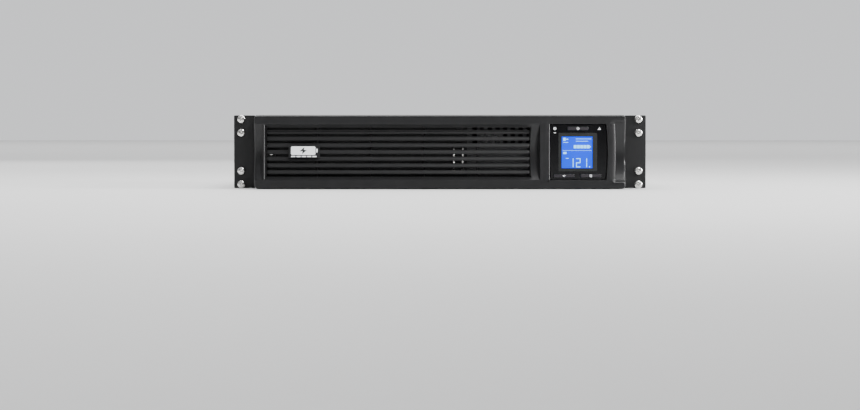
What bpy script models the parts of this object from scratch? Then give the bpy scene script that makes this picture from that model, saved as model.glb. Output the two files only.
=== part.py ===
"""A rack-mounted uninterruptible power supply, two rack units high.

Metres, +Z up. +X is to the right seen from the front, +Y runs from the front to the rear.
The origin is the bottom centre of the whole object's bounding box.
"""

import math

import bmesh
import bpy
from mathutils import Matrix, Vector

# ---------------------------------------------------------------- driving dimensions
BODY_WIDTH = 0.432  # chassis and bezel
BODY_HEIGHT = 0.086  # two rack units less clearance
DEPTH = 0.406  # bezel face to the tip of the breaker button
EAR_SPAN = 0.4826  # a 19 inch front
RACK_HOLE_SPAN = 0.4651  # side to side between the rack's rows of holes
RACK_HOLE_HEIGHTS = (-0.0381, -0.022225, 0.022225, 0.0381)  # from mid height
EAR_SLOT = (0.0084, 0.0066)
BEZEL_DEPTH = 0.032
REAR_PROUD = 0.006  # how far the breaker button stands behind the rear panel
SHEET = 0.0012
GAP = 0.0003  # between pieces that touch

HALF_WIDTH = BODY_WIDTH / 2
MID = BODY_HEIGHT / 2
FRONT = -DEPTH / 2
EAR_FACE = FRONT + BEZEL_DEPTH  # front of the chassis, and of the rack ears
REAR_FACE = DEPTH / 2 - REAR_PROUD
REAR_INSIDE = REAR_FACE - SHEET - GAP  # where the folded chassis and the cover end

# bezel, measured from its face and from mid height
BEZEL_WALL = 0.0025
BEZEL_FRONT_WALL = 0.009
BAND_HALF = 0.0325  # the sunk band between the top and bottom rails
GRILLE_LEFT, GRILLE_RIGHT, GRILLE_HALF = -0.2031, 0.1058, 0.0295
SCOOP_DEPTH, SCOOP_LEFT, SCOOP_RIGHT = 0.006, -0.2055, 0.2036
SLAT_COUNT, SLAT_PITCH = 7, 0.0078

# display, measured from its own centre
DISPLAY_X = 0.1603
DISPLAY_HALF_WIDTH, DISPLAY_HALF_HEIGHT, DISPLAY_BOW = 0.0319, 0.0320, 0.0019
DISPLAY_SETBACK = 0.0015
LCD_HALF_WIDTH, LCD_HALF_HEIGHT, LCD_Z = 0.0182, 0.0188, -0.0006
BUTTON_SIZE = (0.024, 0.0040)
BUTTON_PLACES = {"power_button": (0.0, 0.0272), "mute_button": (-0.0162, -0.0278), "menu_button": (0.0150, -0.0278)}
LAMP_PLACES = {"online_light_pipe": (-0.0268, 0.0272), "fault_light_pipe": (0.0249, 0.0272)}
LAMP_RADIUS = 0.0022

# battery bay and tray, measured from the bay's middle and the chassis front
BAY_X = -0.088
TRAY_HALF_WIDTH, TRAY_LENGTH, TRAY_FLOOR = 0.102, 0.176, 0.003
BATTERY_SIZE = (0.094, 0.151, 0.065)
BATTERY_CHANNEL = 0.0134  # between the two batteries, for the leads
DOOR_LEFT, DOOR_RIGHT, DOOR_BOTTOM, DOOR_TOP = -0.118, 0.120, 0.0065, 0.0795
THUMB_SCREW_PLACES = {"thumb_screw_left": (-0.109, 0.040), "thumb_screw_right": (0.111, 0.0735)}
HANDLE_X, HANDLE_LOW, HANDLE_HIGH = 0.111, 0.021, 0.051
PLUG_Z = 0.038

# rear panel, as x from the middle and height above the floor
FAN_X, FAN_SIZE, FAN_DEPTH, FAN_BORE = -0.158, 0.080, 0.025, 0.0383
FAN_HOLE = 0.03575  # fan mounting holes, from its axis along X and Z
INLET_AT = (-0.072, 0.0250)
BREAKER_AT = (-0.072, 0.0620)
GROUND_AT = (-0.030, 0.0200)
OUTLETS_X, OUTLET_HEIGHTS, OUTLET_PITCH = 0.062, (0.0245, 0.0615), 0.035
PORTS_X, USB_Z, SERIAL_Z = 0.192, 0.0570, 0.0290

FINISHES = {  # colour, roughness, metallic
    "black_paint": ((0.018, 0.018, 0.019), 0.50, 0.0),
    "zinc": ((0.62, 0.63, 0.62), 0.35, 1.0),
    "nickel": ((0.75, 0.75, 0.74), 0.22, 1.0),
    "bezel_plastic": ((0.022, 0.022, 0.023), 0.48, 0.0),
    "gloss_black": ((0.008, 0.008, 0.009), 0.12, 0.0),
    "button_plastic": ((0.05, 0.05, 0.052), 0.40, 0.0),
    "lcd_blue": ((0.10, 0.28, 0.85), 0.15, 0.0),
    "clear_plastic": ((0.75, 0.78, 0.78), 0.10, 0.0),
    "board_green": ((0.02, 0.12, 0.05), 0.45, 0.0),
    "battery_case": ((0.06, 0.06, 0.065), 0.60, 0.0),
    "red_wire": ((0.50, 0.02, 0.02), 0.45, 0.0),
    "black_wire": ((0.02, 0.02, 0.02), 0.45, 0.0),
    "grey_wire": ((0.35, 0.35, 0.36), 0.50, 0.0),
    "connector_grey": ((0.30, 0.31, 0.32), 0.50, 0.0),
    "core_steel": ((0.22, 0.20, 0.18), 0.45, 0.8),
    "winding_tape": ((0.55, 0.42, 0.10), 0.40, 0.0),
    "aluminium": ((0.70, 0.71, 0.72), 0.35, 1.0),
    "black_plastic": ((0.015, 0.015, 0.016), 0.55, 0.0),
    "badge_black": ((0.02, 0.02, 0.02), 0.35, 0.0),
}

# ---------------------------------------------------------------- shapes
AXIS_TURN = {
    "X": Matrix.Rotation(math.pi / 2, 4, "Y"),
    "Y": Matrix.Rotation(-math.pi / 2, 4, "X"),
    "Z": Matrix.Identity(4),
}


def box(low, high):
    """A box between two opposite corners."""
    low, high = Vector(low), Vector(high)
    place = Matrix.Translation((low + high) / 2) @ Matrix.Diagonal((*(high - low), 1.0))
    return lambda bm: bmesh.ops.create_cube(bm, size=1.0, matrix=place)


def rod(centre, radius, length, axis="Y", sides=24, tip_radius=None):
    """A cylinder along an axis, or a cone that ends in tip_radius at the axis's positive end."""
    tip = radius if tip_radius is None else tip_radius
    place = Matrix.Translation(centre) @ AXIS_TURN[axis]
    return lambda bm: bmesh.ops.create_cone(
        bm, cap_ends=True, segments=sides, radius1=radius, radius2=tip, depth=length, matrix=place
    )


def moved(shape, matrix):
    """The same shape, turned or shifted by a matrix."""
    return lambda bm: bmesh.ops.transform(bm, matrix=matrix, verts=shape(bm)["verts"])


def plate(outline, y_low, y_high):
    """A flat plate whose outline is a list of (x, z) points, from y_low to y_high."""

    def add(bm):
        curve = bpy.data.curves.new("outline", "CURVE")
        curve.dimensions, curve.fill_mode, curve.extrude = "2D", "BOTH", (y_high - y_low) / 2
        spline = curve.splines.new("POLY")
        spline.points.add(len(outline) - 1)
        for point, (x, z) in zip(spline.points, outline):
            point.co = (x, z, 0.0, 1.0)
        spline.use_cyclic_u = True
        source = bpy.data.objects.new("outline", curve)
        bpy.context.scene.collection.objects.link(source)
        graph = bpy.context.evaluated_depsgraph_get()
        mesh = bpy.data.meshes.new_from_object(source.evaluated_get(graph))
        bpy.data.objects.remove(source)
        # The curve lies in XY; standing it up in XZ sends its local z along -Y.
        mesh.transform(Matrix.Translation((0, (y_low + y_high) / 2, 0)) @ Matrix.Rotation(math.pi / 2, 4, "X"))
        old = set(bm.verts)
        bm.from_mesh(mesh)
        bpy.data.meshes.remove(mesh)
        new = [v for v in bm.verts if v not in old]
        bmesh.ops.remove_doubles(bm, verts=new, dist=1e-6)
        bmesh.ops.recalc_face_normals(bm, faces=bm.faces[:])
        return {"verts": [v for v in bm.verts if v not in old]}

    return add


def slot_outline(centre, width, height, arc_points=7):
    """A slot that is wider than it is high, with round ends."""
    x, z = centre
    radius, reach = height / 2, (width - height) / 2
    points = []
    for side, start in ((1, -math.pi / 2), (-1, math.pi / 2)):
        for i in range(arc_points):
            angle = start + math.pi * i / (arc_points - 1)
            points.append((x + side * reach + radius * math.cos(angle), z + radius * math.sin(angle)))
    return points


def bowed_outline(half_width, half_height, bow, arc_points=9):
    """A rectangle whose right side bulges by bow at mid height."""
    right = [
        (half_width + bow * (1 - t * t), half_height * t)
        for t in (2 * i / (arc_points - 1) - 1 for i in range(arc_points))
    ]
    return [(-half_width, -half_height), *right, (-half_width, half_height)]


# ---------------------------------------------------------------- objects
def clear_scene():
    for obj in list(bpy.data.objects):
        bpy.data.objects.remove(obj, do_unlink=True)


def new_collection(name):
    made = bpy.data.collections.new(name)
    bpy.context.scene.collection.children.link(made)
    return made


def material(finish):
    found = bpy.data.materials.get(finish)
    if found:
        return found
    colour, roughness, metallic = FINISHES[finish]
    made = bpy.data.materials.new(finish)
    made.use_nodes = True
    shader = made.node_tree.nodes["Principled BSDF"]
    shader.inputs["Base Color"].default_value = (*colour, 1.0)
    shader.inputs["Roughness"].default_value = roughness
    shader.inputs["Metallic"].default_value = metallic
    return made


def empty(name, at, parent=None):
    """A point that a group of pieces is placed from, on their joint's axis if they move."""
    made = bpy.data.objects.new(name, None)
    PARTS.objects.link(made)
    made.parent = parent
    made.location = at
    return made


def place(obj, finish, parent, at):
    obj.data.materials.append(material(finish))
    obj.parent = parent
    obj.location = at
    return obj


def mesh_object(name, shapes, collection):
    bm = bmesh.new()
    for shape in shapes:
        shape(bm)
    mesh = bpy.data.meshes.new(name)
    bm.to_mesh(mesh)
    bm.free()
    obj = bpy.data.objects.new(name, mesh)
    collection.objects.link(obj)
    return obj


def solid(name, shape, finish, parent=None, at=(0, 0, 0)):
    """A named piece that starts as one shape, in the frame of its own origin."""
    return place(mesh_object(name, [shape], PARTS), finish, parent, at)


def boolean(obj, shapes, operation):
    """Cuts or joins shapes that don't touch one another, given in obj's own frame."""
    helper = mesh_object(f"{obj.name}_{operation.lower()}_{len(obj.modifiers)}", shapes, HELPERS)
    helper.parent = obj
    helper.hide_render = True
    helper.display_type = "WIRE"
    modifier = obj.modifiers.new(operation.title(), "BOOLEAN")
    modifier.object = helper
    modifier.operation = operation
    return obj


def cut(obj, *shapes):
    return boolean(obj, shapes, "DIFFERENCE")


def join(obj, *shapes):
    return boolean(obj, shapes, "UNION")


def round_edges(obj, width, segments=2, angle=math.radians(40)):
    modifier = obj.modifiers.new("Bevel", "BEVEL")
    modifier.width = width
    modifier.segments = segments
    modifier.limit_method = "ANGLE"
    modifier.angle_limit = angle
    return obj


def round_shading(obj, angle=math.radians(35)):
    obj.data.shade_smooth()
    obj.data.set_sharp_from_angle(angle=angle)
    return obj


def turned(name, profile, finish, parent, at, steps=16):
    """A piece turned about the Y axis: profile is (radius, y), from the rear end to the front end."""
    mesh = bpy.data.meshes.new(name)
    mesh.from_pydata([(r, 0, y) for r, y in profile], [(i, i + 1) for i in range(len(profile) - 1)], [])
    obj = bpy.data.objects.new(name, mesh)
    PARTS.objects.link(obj)
    place(obj, finish, parent, at)
    obj.rotation_euler = (-math.pi / 2, 0, 0)
    modifier = obj.modifiers.new("Screw", "SCREW")
    modifier.steps = modifier.render_steps = steps
    modifier.use_merge_vertices = True
    modifier.merge_threshold = 1e-5
    modifier.use_smooth_shade = True
    return obj


def smooth_route(points, spacing):
    """Points along a smooth curve through the given ones, about spacing apart."""
    route = [Vector(p) for p in points]
    ends = [2 * route[0] - route[1], *route, 2 * route[-1] - route[-2]]
    found = []
    for a, b, c, d in zip(ends, ends[1:], ends[2:], ends[3:]):
        steps = max(2, round((c - b).length / spacing))
        for i in range(steps):
            t = i / steps
            found.append(0.5 * (2 * b + (c - a) * t + (2 * a - 5 * b + 4 * c - d) * t**2 + (3 * b - a - 3 * c + d) * t**3))
    return [*found, route[-1]]


def wire(name, route, diameter, finish, parent=None, at=(0, 0, 0)):
    curve = bpy.data.curves.new(name, "CURVE")
    curve.dimensions = "3D"
    curve.bevel_depth = diameter / 2
    curve.bevel_resolution = 2
    curve.use_fill_caps = True
    points = smooth_route(route, 2.5 * diameter)
    spline = curve.splines.new("POLY")
    spline.points.add(len(points) - 1)
    for point, co in zip(spline.points, points):
        point.co = (*co, 1.0)
    obj = bpy.data.objects.new(name, curve)
    PARTS.objects.link(obj)
    return place(obj, finish, parent, at)


# ---------------------------------------------------------------- chassis
def chassis_base():
    """Floor and side walls folded from one sheet, with four studs under the main board."""
    base = solid("chassis_base", box((-HALF_WIDTH, EAR_FACE, 0), (HALF_WIDTH, REAR_INSIDE, BODY_HEIGHT - SHEET - GAP)), "black_paint")
    inner = HALF_WIDTH - SHEET
    cut(base, box((-inner, EAR_FACE - 0.01, SHEET), (inner, REAR_INSIDE + 0.01, BODY_HEIGHT + 0.01)))
    slot_count, slot_pitch, first = 12, 0.008, 0.060
    for side in (-1, 1):
        x = side * HALF_WIDTH
        slots = [
            box((x - 0.004, first + i * slot_pitch, 0.026), (x + 0.004, first + i * slot_pitch + 0.003, 0.060))
            for i in range(slot_count)
        ]
        cut(base, *slots)
    studs = [rod((x, y, 0.0042), 0.003, 0.0069, "Z", 10) for x in (0.032, 0.200) for y in (-0.130, 0.130)]
    return join(base, *studs)


def top_cover():
    cover = solid(
        "top_cover", box((-HALF_WIDTH, EAR_FACE, BODY_HEIGHT - SHEET), (HALF_WIDTH, REAR_INSIDE, BODY_HEIGHT)), "black_paint"
    )
    outside, drop = HALF_WIDTH - SHEET - GAP, 0.011
    flanges = [
        box((min(x, x - side * SHEET), EAR_FACE + 0.003, BODY_HEIGHT - drop), (max(x, x - side * SHEET), REAR_INSIDE - 0.002, BODY_HEIGHT - SHEET / 2))
        for side, x in ((-1, -outside), (1, outside))
    ]
    return join(cover, *flanges)


def rear_panel():
    panel = solid("rear_panel", box((-HALF_WIDTH, REAR_FACE - SHEET, 0), (HALF_WIDTH, REAR_FACE, BODY_HEIGHT)), "black_paint")
    near, far = REAR_FACE - 0.005, REAR_FACE + 0.005

    def window(x, z, half_width, half_height):
        return box((x - half_width, near, z - half_height), (x + half_width, far, z + half_height))

    round_holes = [
        rod((FAN_X, REAR_FACE, MID), FAN_BORE - 0.0005, 0.01, "Y", 40),
        rod((BREAKER_AT[0], REAR_FACE, BREAKER_AT[1]), 0.0062, 0.01),
        rod((GROUND_AT[0], REAR_FACE, GROUND_AT[1]), 0.0025, 0.01, sides=12),
    ]
    windows = [window(OUTLETS_X, z, 0.0515, 0.0145) for z in OUTLET_HEIGHTS]
    windows += [
        window(*INLET_AT, 0.0140, 0.0105),
        window(PORTS_X, USB_Z, 0.0064, 0.0059),
        window(PORTS_X, SERIAL_Z, 0.0086, 0.0072),
    ]
    vents = [window(0.125 + 0.0075 * i, z, 0.0015, 0.013) for i in range(7) for z in (0.0245, 0.0615)]
    return cut(panel, *round_holes, *windows, *vents)


def front_bulkhead():
    """Plate behind the bezel: the battery opening, vents, the display's cable hole and notches for the bezel's tabs."""
    wide = HALF_WIDTH - SHEET - GAP
    bulkhead = solid(
        "front_bulkhead", box((-wide, EAR_FACE, SHEET + GAP), (wide, EAR_FACE + SHEET, BODY_HEIGHT - SHEET - GAP)), "black_paint"
    )
    near, far = EAR_FACE - 0.005, EAR_FACE + 0.005
    bay_reach = TRAY_HALF_WIDTH + 0.001
    opening = box((BAY_X - bay_reach, near, 0.0027), (BAY_X + bay_reach, far, 0.0715))
    screw_holes = [rod((BAY_X + x, EAR_FACE, z), 0.0034, 0.01, sides=16) for x, z in THUMB_SCREW_PLACES.values()]
    vents = [
        box((0.038 + 0.009 * i, near, z - 0.0025), (0.043 + 0.009 * i, far, z + 0.0025))
        for i in range(8)
        for z in (MID + SLAT_PITCH * k for k in (1.5, 2.5, 3.5))
    ]
    cable_hole = box((DISPLAY_X - 0.007, near, MID - 0.010), (DISPLAY_X + 0.007, far, MID + 0.010))
    notches = [
        box((x - 0.008, near, low), (x + 0.008, far, high))
        for xs, low, high in ((LOWER_TAB_XS, -0.01, 0.0054), (UPPER_TAB_XS, BODY_HEIGHT - 0.0054, BODY_HEIGHT + 0.01))
        for x in xs
    ]
    cut(bulkhead, opening, *vents, cable_hole)
    cut(bulkhead, *screw_holes)
    return cut(bulkhead, *notches)


def battery_bay():
    """Guide walls, floor and back wall that the battery tray slides into."""
    bay = empty("battery_bay_frame", (BAY_X, EAR_FACE + SHEET + GAP, 0))
    wall, length, height, floor = 0.001, 0.1805, 0.071, SHEET + GAP
    reach = TRAY_HALF_WIDTH + 0.0005
    made = solid("battery_bay", box((-reach - wall, 0, floor), (reach + wall, length, height)), "zinc", bay)
    return cut(made, box((-reach, -0.01, floor + wall), (reach, length - wall, height + 0.01)))


def rack_ears():
    """Angle brackets that carry the front on the rack's rails."""
    sheet, leg_length = 0.002, 0.061
    inside, outside = HALF_WIDTH + GAP, EAR_SPAN / 2
    for side, name in ((-1, "rack_ear_left"), (1, "rack_ear_right")):
        low_x, high_x = sorted((side * inside, side * outside))
        flange = box((low_x, EAR_FACE, GAP), (high_x, EAR_FACE + sheet, BODY_HEIGHT - GAP))
        ear = solid(name, flange, "black_paint")
        leg_x = sorted((side * inside, side * (inside + sheet)))
        join(ear, box((leg_x[0], EAR_FACE + sheet / 2, 0.010), (leg_x[1], EAR_FACE + leg_length, 0.076)))
        slots = [
            plate(slot_outline((side * RACK_HOLE_SPAN / 2, MID + z), *EAR_SLOT), EAR_FACE - 0.003, EAR_FACE + 0.005)
            for z in RACK_HOLE_HEIGHTS
        ]
        cut(ear, *slots)


def rack_screws():
    """Eight pan-head screws through the ears' slots."""
    profile = [
        (0, 0.0140), (0.0018, 0.0140), (0.00245, 0.0130), (0.00245, -GAP),
        (0.00470, -GAP), (0.00470, -0.0018), (0.0038, -0.0030), (0.0020, -0.0035), (0, -0.0036),
    ]
    number = 0
    for side in (-1, 1):
        for z in reversed(RACK_HOLE_HEIGHTS):
            number += 1
            turned(f"rack_screw_{number}", profile, "nickel", None, (side * RACK_HOLE_SPAN / 2, EAR_FACE, MID + z), 12)


# ---------------------------------------------------------------- bezel
UPPER_TAB_XS, LOWER_TAB_XS = (-0.150, 0.060, 0.190), (-0.203, 0.060, 0.190)


def scoop_cutter(x_low, x_high):
    """Round-backed finger grip at one end of the bezel, deepest at mid height."""
    radius = (BAND_HALF**2 + SCOOP_DEPTH**2) / (2 * SCOOP_DEPTH)
    return rod(((x_low + x_high) / 2, SCOOP_DEPTH - radius, 0), radius, x_high - x_low, "X", 96)


def flared_opening(x_low, x_high, half_height, flare, depth):
    """Opening through the bezel's face whose top and bottom edges flare outwards towards the face."""
    shape = box((x_low, -0.001, -half_height), (x_high, depth, half_height))

    def add(bm):
        made = shape(bm)
        for vert in made["verts"]:
            if vert.co.y < 0:
                vert.co.z += math.copysign(flare, vert.co.z)
        return made

    return add


def bezel_frame(bezel):
    """Moulded face with its rails, louvre opening, display window, finger grips and snap tabs."""
    rear, top = BEZEL_DEPTH - GAP, MID
    frame = solid("bezel_frame", box((-HALF_WIDTH, 0, -top), (HALF_WIDTH, rear, top)), "bezel_plastic", bezel)
    face_edges = round_edges(frame, 0.0025, 3)
    cavity = box((-HALF_WIDTH + BEZEL_WALL, BEZEL_FRONT_WALL, -top + BEZEL_WALL), (HALF_WIDTH - BEZEL_WALL, rear + 0.01, top - BEZEL_WALL))
    cut(face_edges, cavity)
    cut(frame, box((GRILLE_LEFT, -0.005, -GRILLE_HALF), (GRILLE_RIGHT, BEZEL_FRONT_WALL + 0.005, GRILLE_HALF)))
    cut(frame, flared_opening(GRILLE_LEFT, GRILLE_RIGHT, GRILLE_HALF, BAND_HALF - GRILLE_HALF, 0.0035))
    sweep_reach, sweep_depth = 0.011, 0.008
    sweep = moved(
        rod((0, 0, 0), 1.0, 2 * BAND_HALF, "Z", 48),
        Matrix.Translation((GRILLE_RIGHT, 0, 0)) @ Matrix.Diagonal((sweep_reach, sweep_depth, 1, 1)),
    )
    cut(frame, sweep)
    window = [(DISPLAY_X + x, z) for x, z in bowed_outline(DISPLAY_HALF_WIDTH + 0.0004, DISPLAY_HALF_HEIGHT + 0.0004, DISPLAY_BOW)]
    cut(frame, plate(window, -0.005, BEZEL_FRONT_WALL + 0.005))
    cut(frame, scoop_cutter(-HALF_WIDTH - 0.005, SCOOP_LEFT), scoop_cutter(SCOOP_RIGHT, HALF_WIDTH + 0.005))
    tabs = [
        box((x - 0.007, 0.022, low), (x + 0.007, rear + 0.0063, high))
        for xs, low, high in ((LOWER_TAB_XS, -top + 0.0024, -top + 0.0048), (UPPER_TAB_XS, top - 0.0048, top - 0.0024))
        for x in xs
    ]
    return join(frame, *tabs)


def louvre_grille(bezel):
    """Clip-in insert: a border behind the face, seven sloping slats and the ribs behind them."""
    seat = BEZEL_FRONT_WALL + GAP
    lap, lip, thick = 0.0035, 0.0016, 0.0035
    left, right = GRILLE_LEFT - lap, GRILLE_RIGHT + lap
    border = solid(
        "louvre_grille", box((left, seat, -GRILLE_HALF - lap), (right, seat + thick, GRILLE_HALF + lap)), "bezel_plastic", bezel
    )
    cut(border, box((GRILLE_LEFT + lip, 0, -GRILLE_HALF + 0.001), (GRILLE_RIGHT - lip, 0.03, GRILLE_HALF - 0.001)))
    slat_length = GRILLE_RIGHT - GRILLE_LEFT - 2 * GAP
    blade = box((-slat_length / 2, -0.0009, -0.0038), (slat_length / 2, 0.0009, 0.0038))
    slope = Matrix.Rotation(math.radians(-44), 4, "X")
    middle = (GRILLE_LEFT + GRILLE_RIGHT) / 2
    slats = [
        moved(blade, Matrix.Translation((middle, 0.0092, SLAT_PITCH * (i - (SLAT_COUNT - 1) / 2))) @ slope)
        for i in range(SLAT_COUNT)
    ]
    join(border, *slats)
    ribs = [box((x - 0.0008, 0.0105, -0.0300), (x + 0.0008, 0.0138, 0.0300)) for x in (-0.141, -0.079, -0.017, 0.045)]
    return join(border, *ribs)


def badge(bezel):
    """Blank badge plate on the front of the slats."""
    x, z, half_width, half_height = -0.158, 0.0005, 0.0185, 0.0075
    outline = slot_outline((x, z), 2 * half_width, 2 * half_height, 5)
    return solid("badge", plate(outline, 0.0039, 0.0049), "badge_black", bezel)


# ---------------------------------------------------------------- display
def display(parent):
    """Fascia, housing, screen, light pipes and circuit board. The display stays on the chassis when the bezel comes off."""
    fascia_back = DISPLAY_SETBACK + 0.002
    outline = bowed_outline(DISPLAY_HALF_WIDTH, DISPLAY_HALF_HEIGHT, DISPLAY_BOW)
    fascia = solid("display_fascia", plate(outline, DISPLAY_SETBACK, fascia_back), "gloss_black", parent)
    play = 0.0003
    holes = [
        box((-LCD_HALF_WIDTH - play, 0, LCD_Z - LCD_HALF_HEIGHT - play), (LCD_HALF_WIDTH + play, 0.01, LCD_Z + LCD_HALF_HEIGHT + play))
    ]
    holes += [
        box((x - BUTTON_SIZE[0] / 2 - play, 0, z - BUTTON_SIZE[1] / 2 - play), (x + BUTTON_SIZE[0] / 2 + play, 0.01, z + BUTTON_SIZE[1] / 2 + play))
        for x, z in BUTTON_PLACES.values()
    ]
    holes += [rod((x, 0.004, z), LAMP_RADIUS + play, 0.008, sides=16) for x, z in LAMP_PLACES.values()]
    cut(fascia, *holes)
    lcd_low = (-LCD_HALF_WIDTH, DISPLAY_SETBACK + 0.0004, LCD_Z - LCD_HALF_HEIGHT)
    solid("lcd_screen", box(lcd_low, (LCD_HALF_WIDTH, 0.009, LCD_Z + LCD_HALF_HEIGHT)), "lcd_blue", parent)
    for name, (x, z) in LAMP_PLACES.items():
        solid(name, rod((0, 0.0055, 0), LAMP_RADIUS, 0.0070, sides=16), "clear_plastic", parent, (x, 0, z))

    housing_width, housing_height, housing_wall = 0.0316, 0.0316, 0.0012
    back = BEZEL_DEPTH - GAP
    housing = solid(
        "display_housing",
        box((-housing_width, fascia_back + GAP, -housing_height), (housing_width, back, housing_height)),
        "black_plastic",
        parent,
    )
    inner_width, inner_height = housing_width - housing_wall, housing_height - housing_wall
    cut(housing, box((-inner_width, 0, -inner_height), (inner_width, back - housing_wall, inner_height)))
    cut(housing, box((-0.006, back - 0.01, -0.009), (0.006, back + 0.01, 0.009)))
    board = solid("display_board", box((-0.0301, 0.0130, -0.0301), (0.0301, 0.0146, 0.0301)), "board_green", parent)
    switches = [box((x - 0.003, 0.0122, z - 0.0013), (x + 0.003, 0.0132, z + 0.0013)) for x, z in BUTTON_PLACES.values()]
    join(board, *switches)


def button(name, parent):
    """Cap that stands 0.5 mm proud of the fascia, and the stem that works its switch."""
    x, z = BUTTON_PLACES[name]
    pivot = empty(f"{name}_slide", (x, 0, z), parent)
    half_width, half_height = BUTTON_SIZE[0] / 2, BUTTON_SIZE[1] / 2
    cap = solid(name, box((-half_width, 0.0010, -half_height), (half_width, 0.0032, half_height)), "button_plastic", pivot)
    round_edges(cap, 0.0004, 1)
    return join(cap, box((-0.004, 0.0028, -0.0013), (0.004, 0.0112, 0.0013)))


# ---------------------------------------------------------------- battery
def battery_tray(tray):
    """Open pan with the door plate that closes the battery opening."""
    reach, wall, height = TRAY_HALF_WIDTH, 0.001, 0.040
    pan = solid("battery_tray", box((-reach, -0.0010, TRAY_FLOOR), (reach, TRAY_LENGTH, height)), "zinc", tray)
    cut(pan, box((-reach + wall, 0.001, TRAY_FLOOR + wall), (reach - wall, TRAY_LENGTH - wall, height + 0.01)))
    cut(pan, box((-0.022, TRAY_LENGTH - 0.01, 0.025), (0.022, TRAY_LENGTH + 0.01, height + 0.01)))
    join(pan, box((DOOR_LEFT, -SHEET - GAP, DOOR_BOTTOM), (DOOR_RIGHT, -GAP, DOOR_TOP)))
    holes = [rod((x, 0, z), 0.0032, 0.01, sides=16) for x, z in THUMB_SCREW_PLACES.values()]
    return cut(pan, *holes)


def batteries(tray):
    """Two sealed lead-acid blocks on their sides, with their tabs facing each other across the lead channel."""
    width, length, height = BATTERY_SIZE
    centre_x = BATTERY_CHANNEL / 2 + width / 2
    tab_y, tab_z, tab_reach = 0.060, 0.032, 0.005
    for name, side, turn in (("battery_left", -1, 0.0), ("battery_right", 1, math.pi)):
        case = box((-width / 2, -length / 2, 0), (width / 2, length / 2, height))
        block = solid(name, case, "battery_case", tray, (side * centre_x, 0.0015 + GAP + length / 2, TRAY_FLOOR + 0.0013))
        block.rotation_euler = (0, 0, turn)
        round_edges(block, 0.002, 2)
        tabs = [
            box((width / 2 - 0.001, y - 0.003, tab_z - 0.0004), (width / 2 + tab_reach, y + 0.003, tab_z + 0.0004))
            for y in (-tab_y, tab_y)
        ]
        join(block, *tabs)


def battery_leads(tray):
    """Two leads from the rear tabs to the plug, and the link between the front tabs."""
    middle_y = 0.0015 + GAP + BATTERY_SIZE[1] / 2
    z, rear, front = TRAY_FLOOR + 0.0013 + 0.032, middle_y + 0.0636, middle_y - 0.0636
    for name, side in (("lead_positive", -1), ("lead_negative", 1)):
        finish = "red_wire" if side < 0 else "black_wire"
        route = [(side * 0.0042, rear, z), (side * 0.0046, rear + 0.006, z + 0.001), (side * 0.0046, 0.151, PLUG_Z), (side * 0.0046, 0.1556, PLUG_Z)]
        wire(name, route, 0.003, finish, tray)
    loop = [(-0.0042, front, z), (-0.0044, front - 0.004, z), (0, front - 0.0085, z + 0.001), (0.0044, front - 0.004, z), (0.0042, front, z)]
    wire("battery_link", loop, 0.0024, "red_wire", tray)


def battery_connector(tray):
    """Plug on the tray and the socket on the bay's back wall that it docks into."""
    tongue_reach, tongue_half = 0.015, 0.009
    plug = solid("battery_plug", box((-0.018, 0.156, TRAY_FLOOR + 0.0013), (0.018, 0.168, 0.049)), "connector_grey", tray)
    join(plug, box((-tongue_reach, 0.1675, PLUG_Z - tongue_half), (tongue_reach, 0.178, PLUG_Z + tongue_half)))
    wall_y = SHEET + GAP + 0.1805 - 0.001 - GAP
    socket = solid("battery_socket", box((-0.020, 0.169, PLUG_Z - 0.012), (0.020, wall_y, PLUG_Z + 0.012)), "connector_grey", None, (BAY_X, EAR_FACE, 0))
    play = 0.0006
    cut(
        socket,
        box(
            (-tongue_reach - play, 0.16, PLUG_Z - tongue_half - play),
            (tongue_reach + play, wall_y - 0.0015, PLUG_Z + tongue_half + play),
        ),
    )


def tray_handle(tray):
    """Wire pull handle standing on the door plate."""
    foot_y, reach_y, corner = -SHEET - 2 * GAP, -0.0125, 0.005
    curve_points = 4
    route = [(HANDLE_X, foot_y, HANDLE_LOW)]
    for centre_z, start in ((HANDLE_LOW + corner, math.pi), (HANDLE_HIGH - corner, math.pi / 2)):
        for i in range(curve_points + 1):
            angle = start - math.pi / 2 * i / curve_points
            route.append((HANDLE_X, reach_y + corner - corner * math.sin(angle), centre_z + corner * math.cos(angle)))
    route.append((HANDLE_X, foot_y, HANDLE_HIGH))
    return wire("tray_handle", route, 0.0045, "nickel", tray)


def thumb_screws(tray):
    """Captive screws that hold the door plate on the bulkhead."""
    face = -SHEET - 2 * GAP
    profile = [
        (0, 0.0090), (0.0018, 0.0090), (0.0024, 0.0082), (0.0024, face), (0.0050, face),
        (0.0050, face - 0.0070), (0.0044, face - 0.0078), (0, face - 0.0078),
    ]
    for name, (x, z) in THUMB_SCREW_PLACES.items():
        turned(name, profile, "nickel", tray, (x, 0, z), 16)


# ---------------------------------------------------------------- electronics
def main_board():
    board = solid("main_board", box((0.022, -0.142, 0.0080), (0.210, 0.142, 0.0096)), "board_green")
    return board


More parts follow.
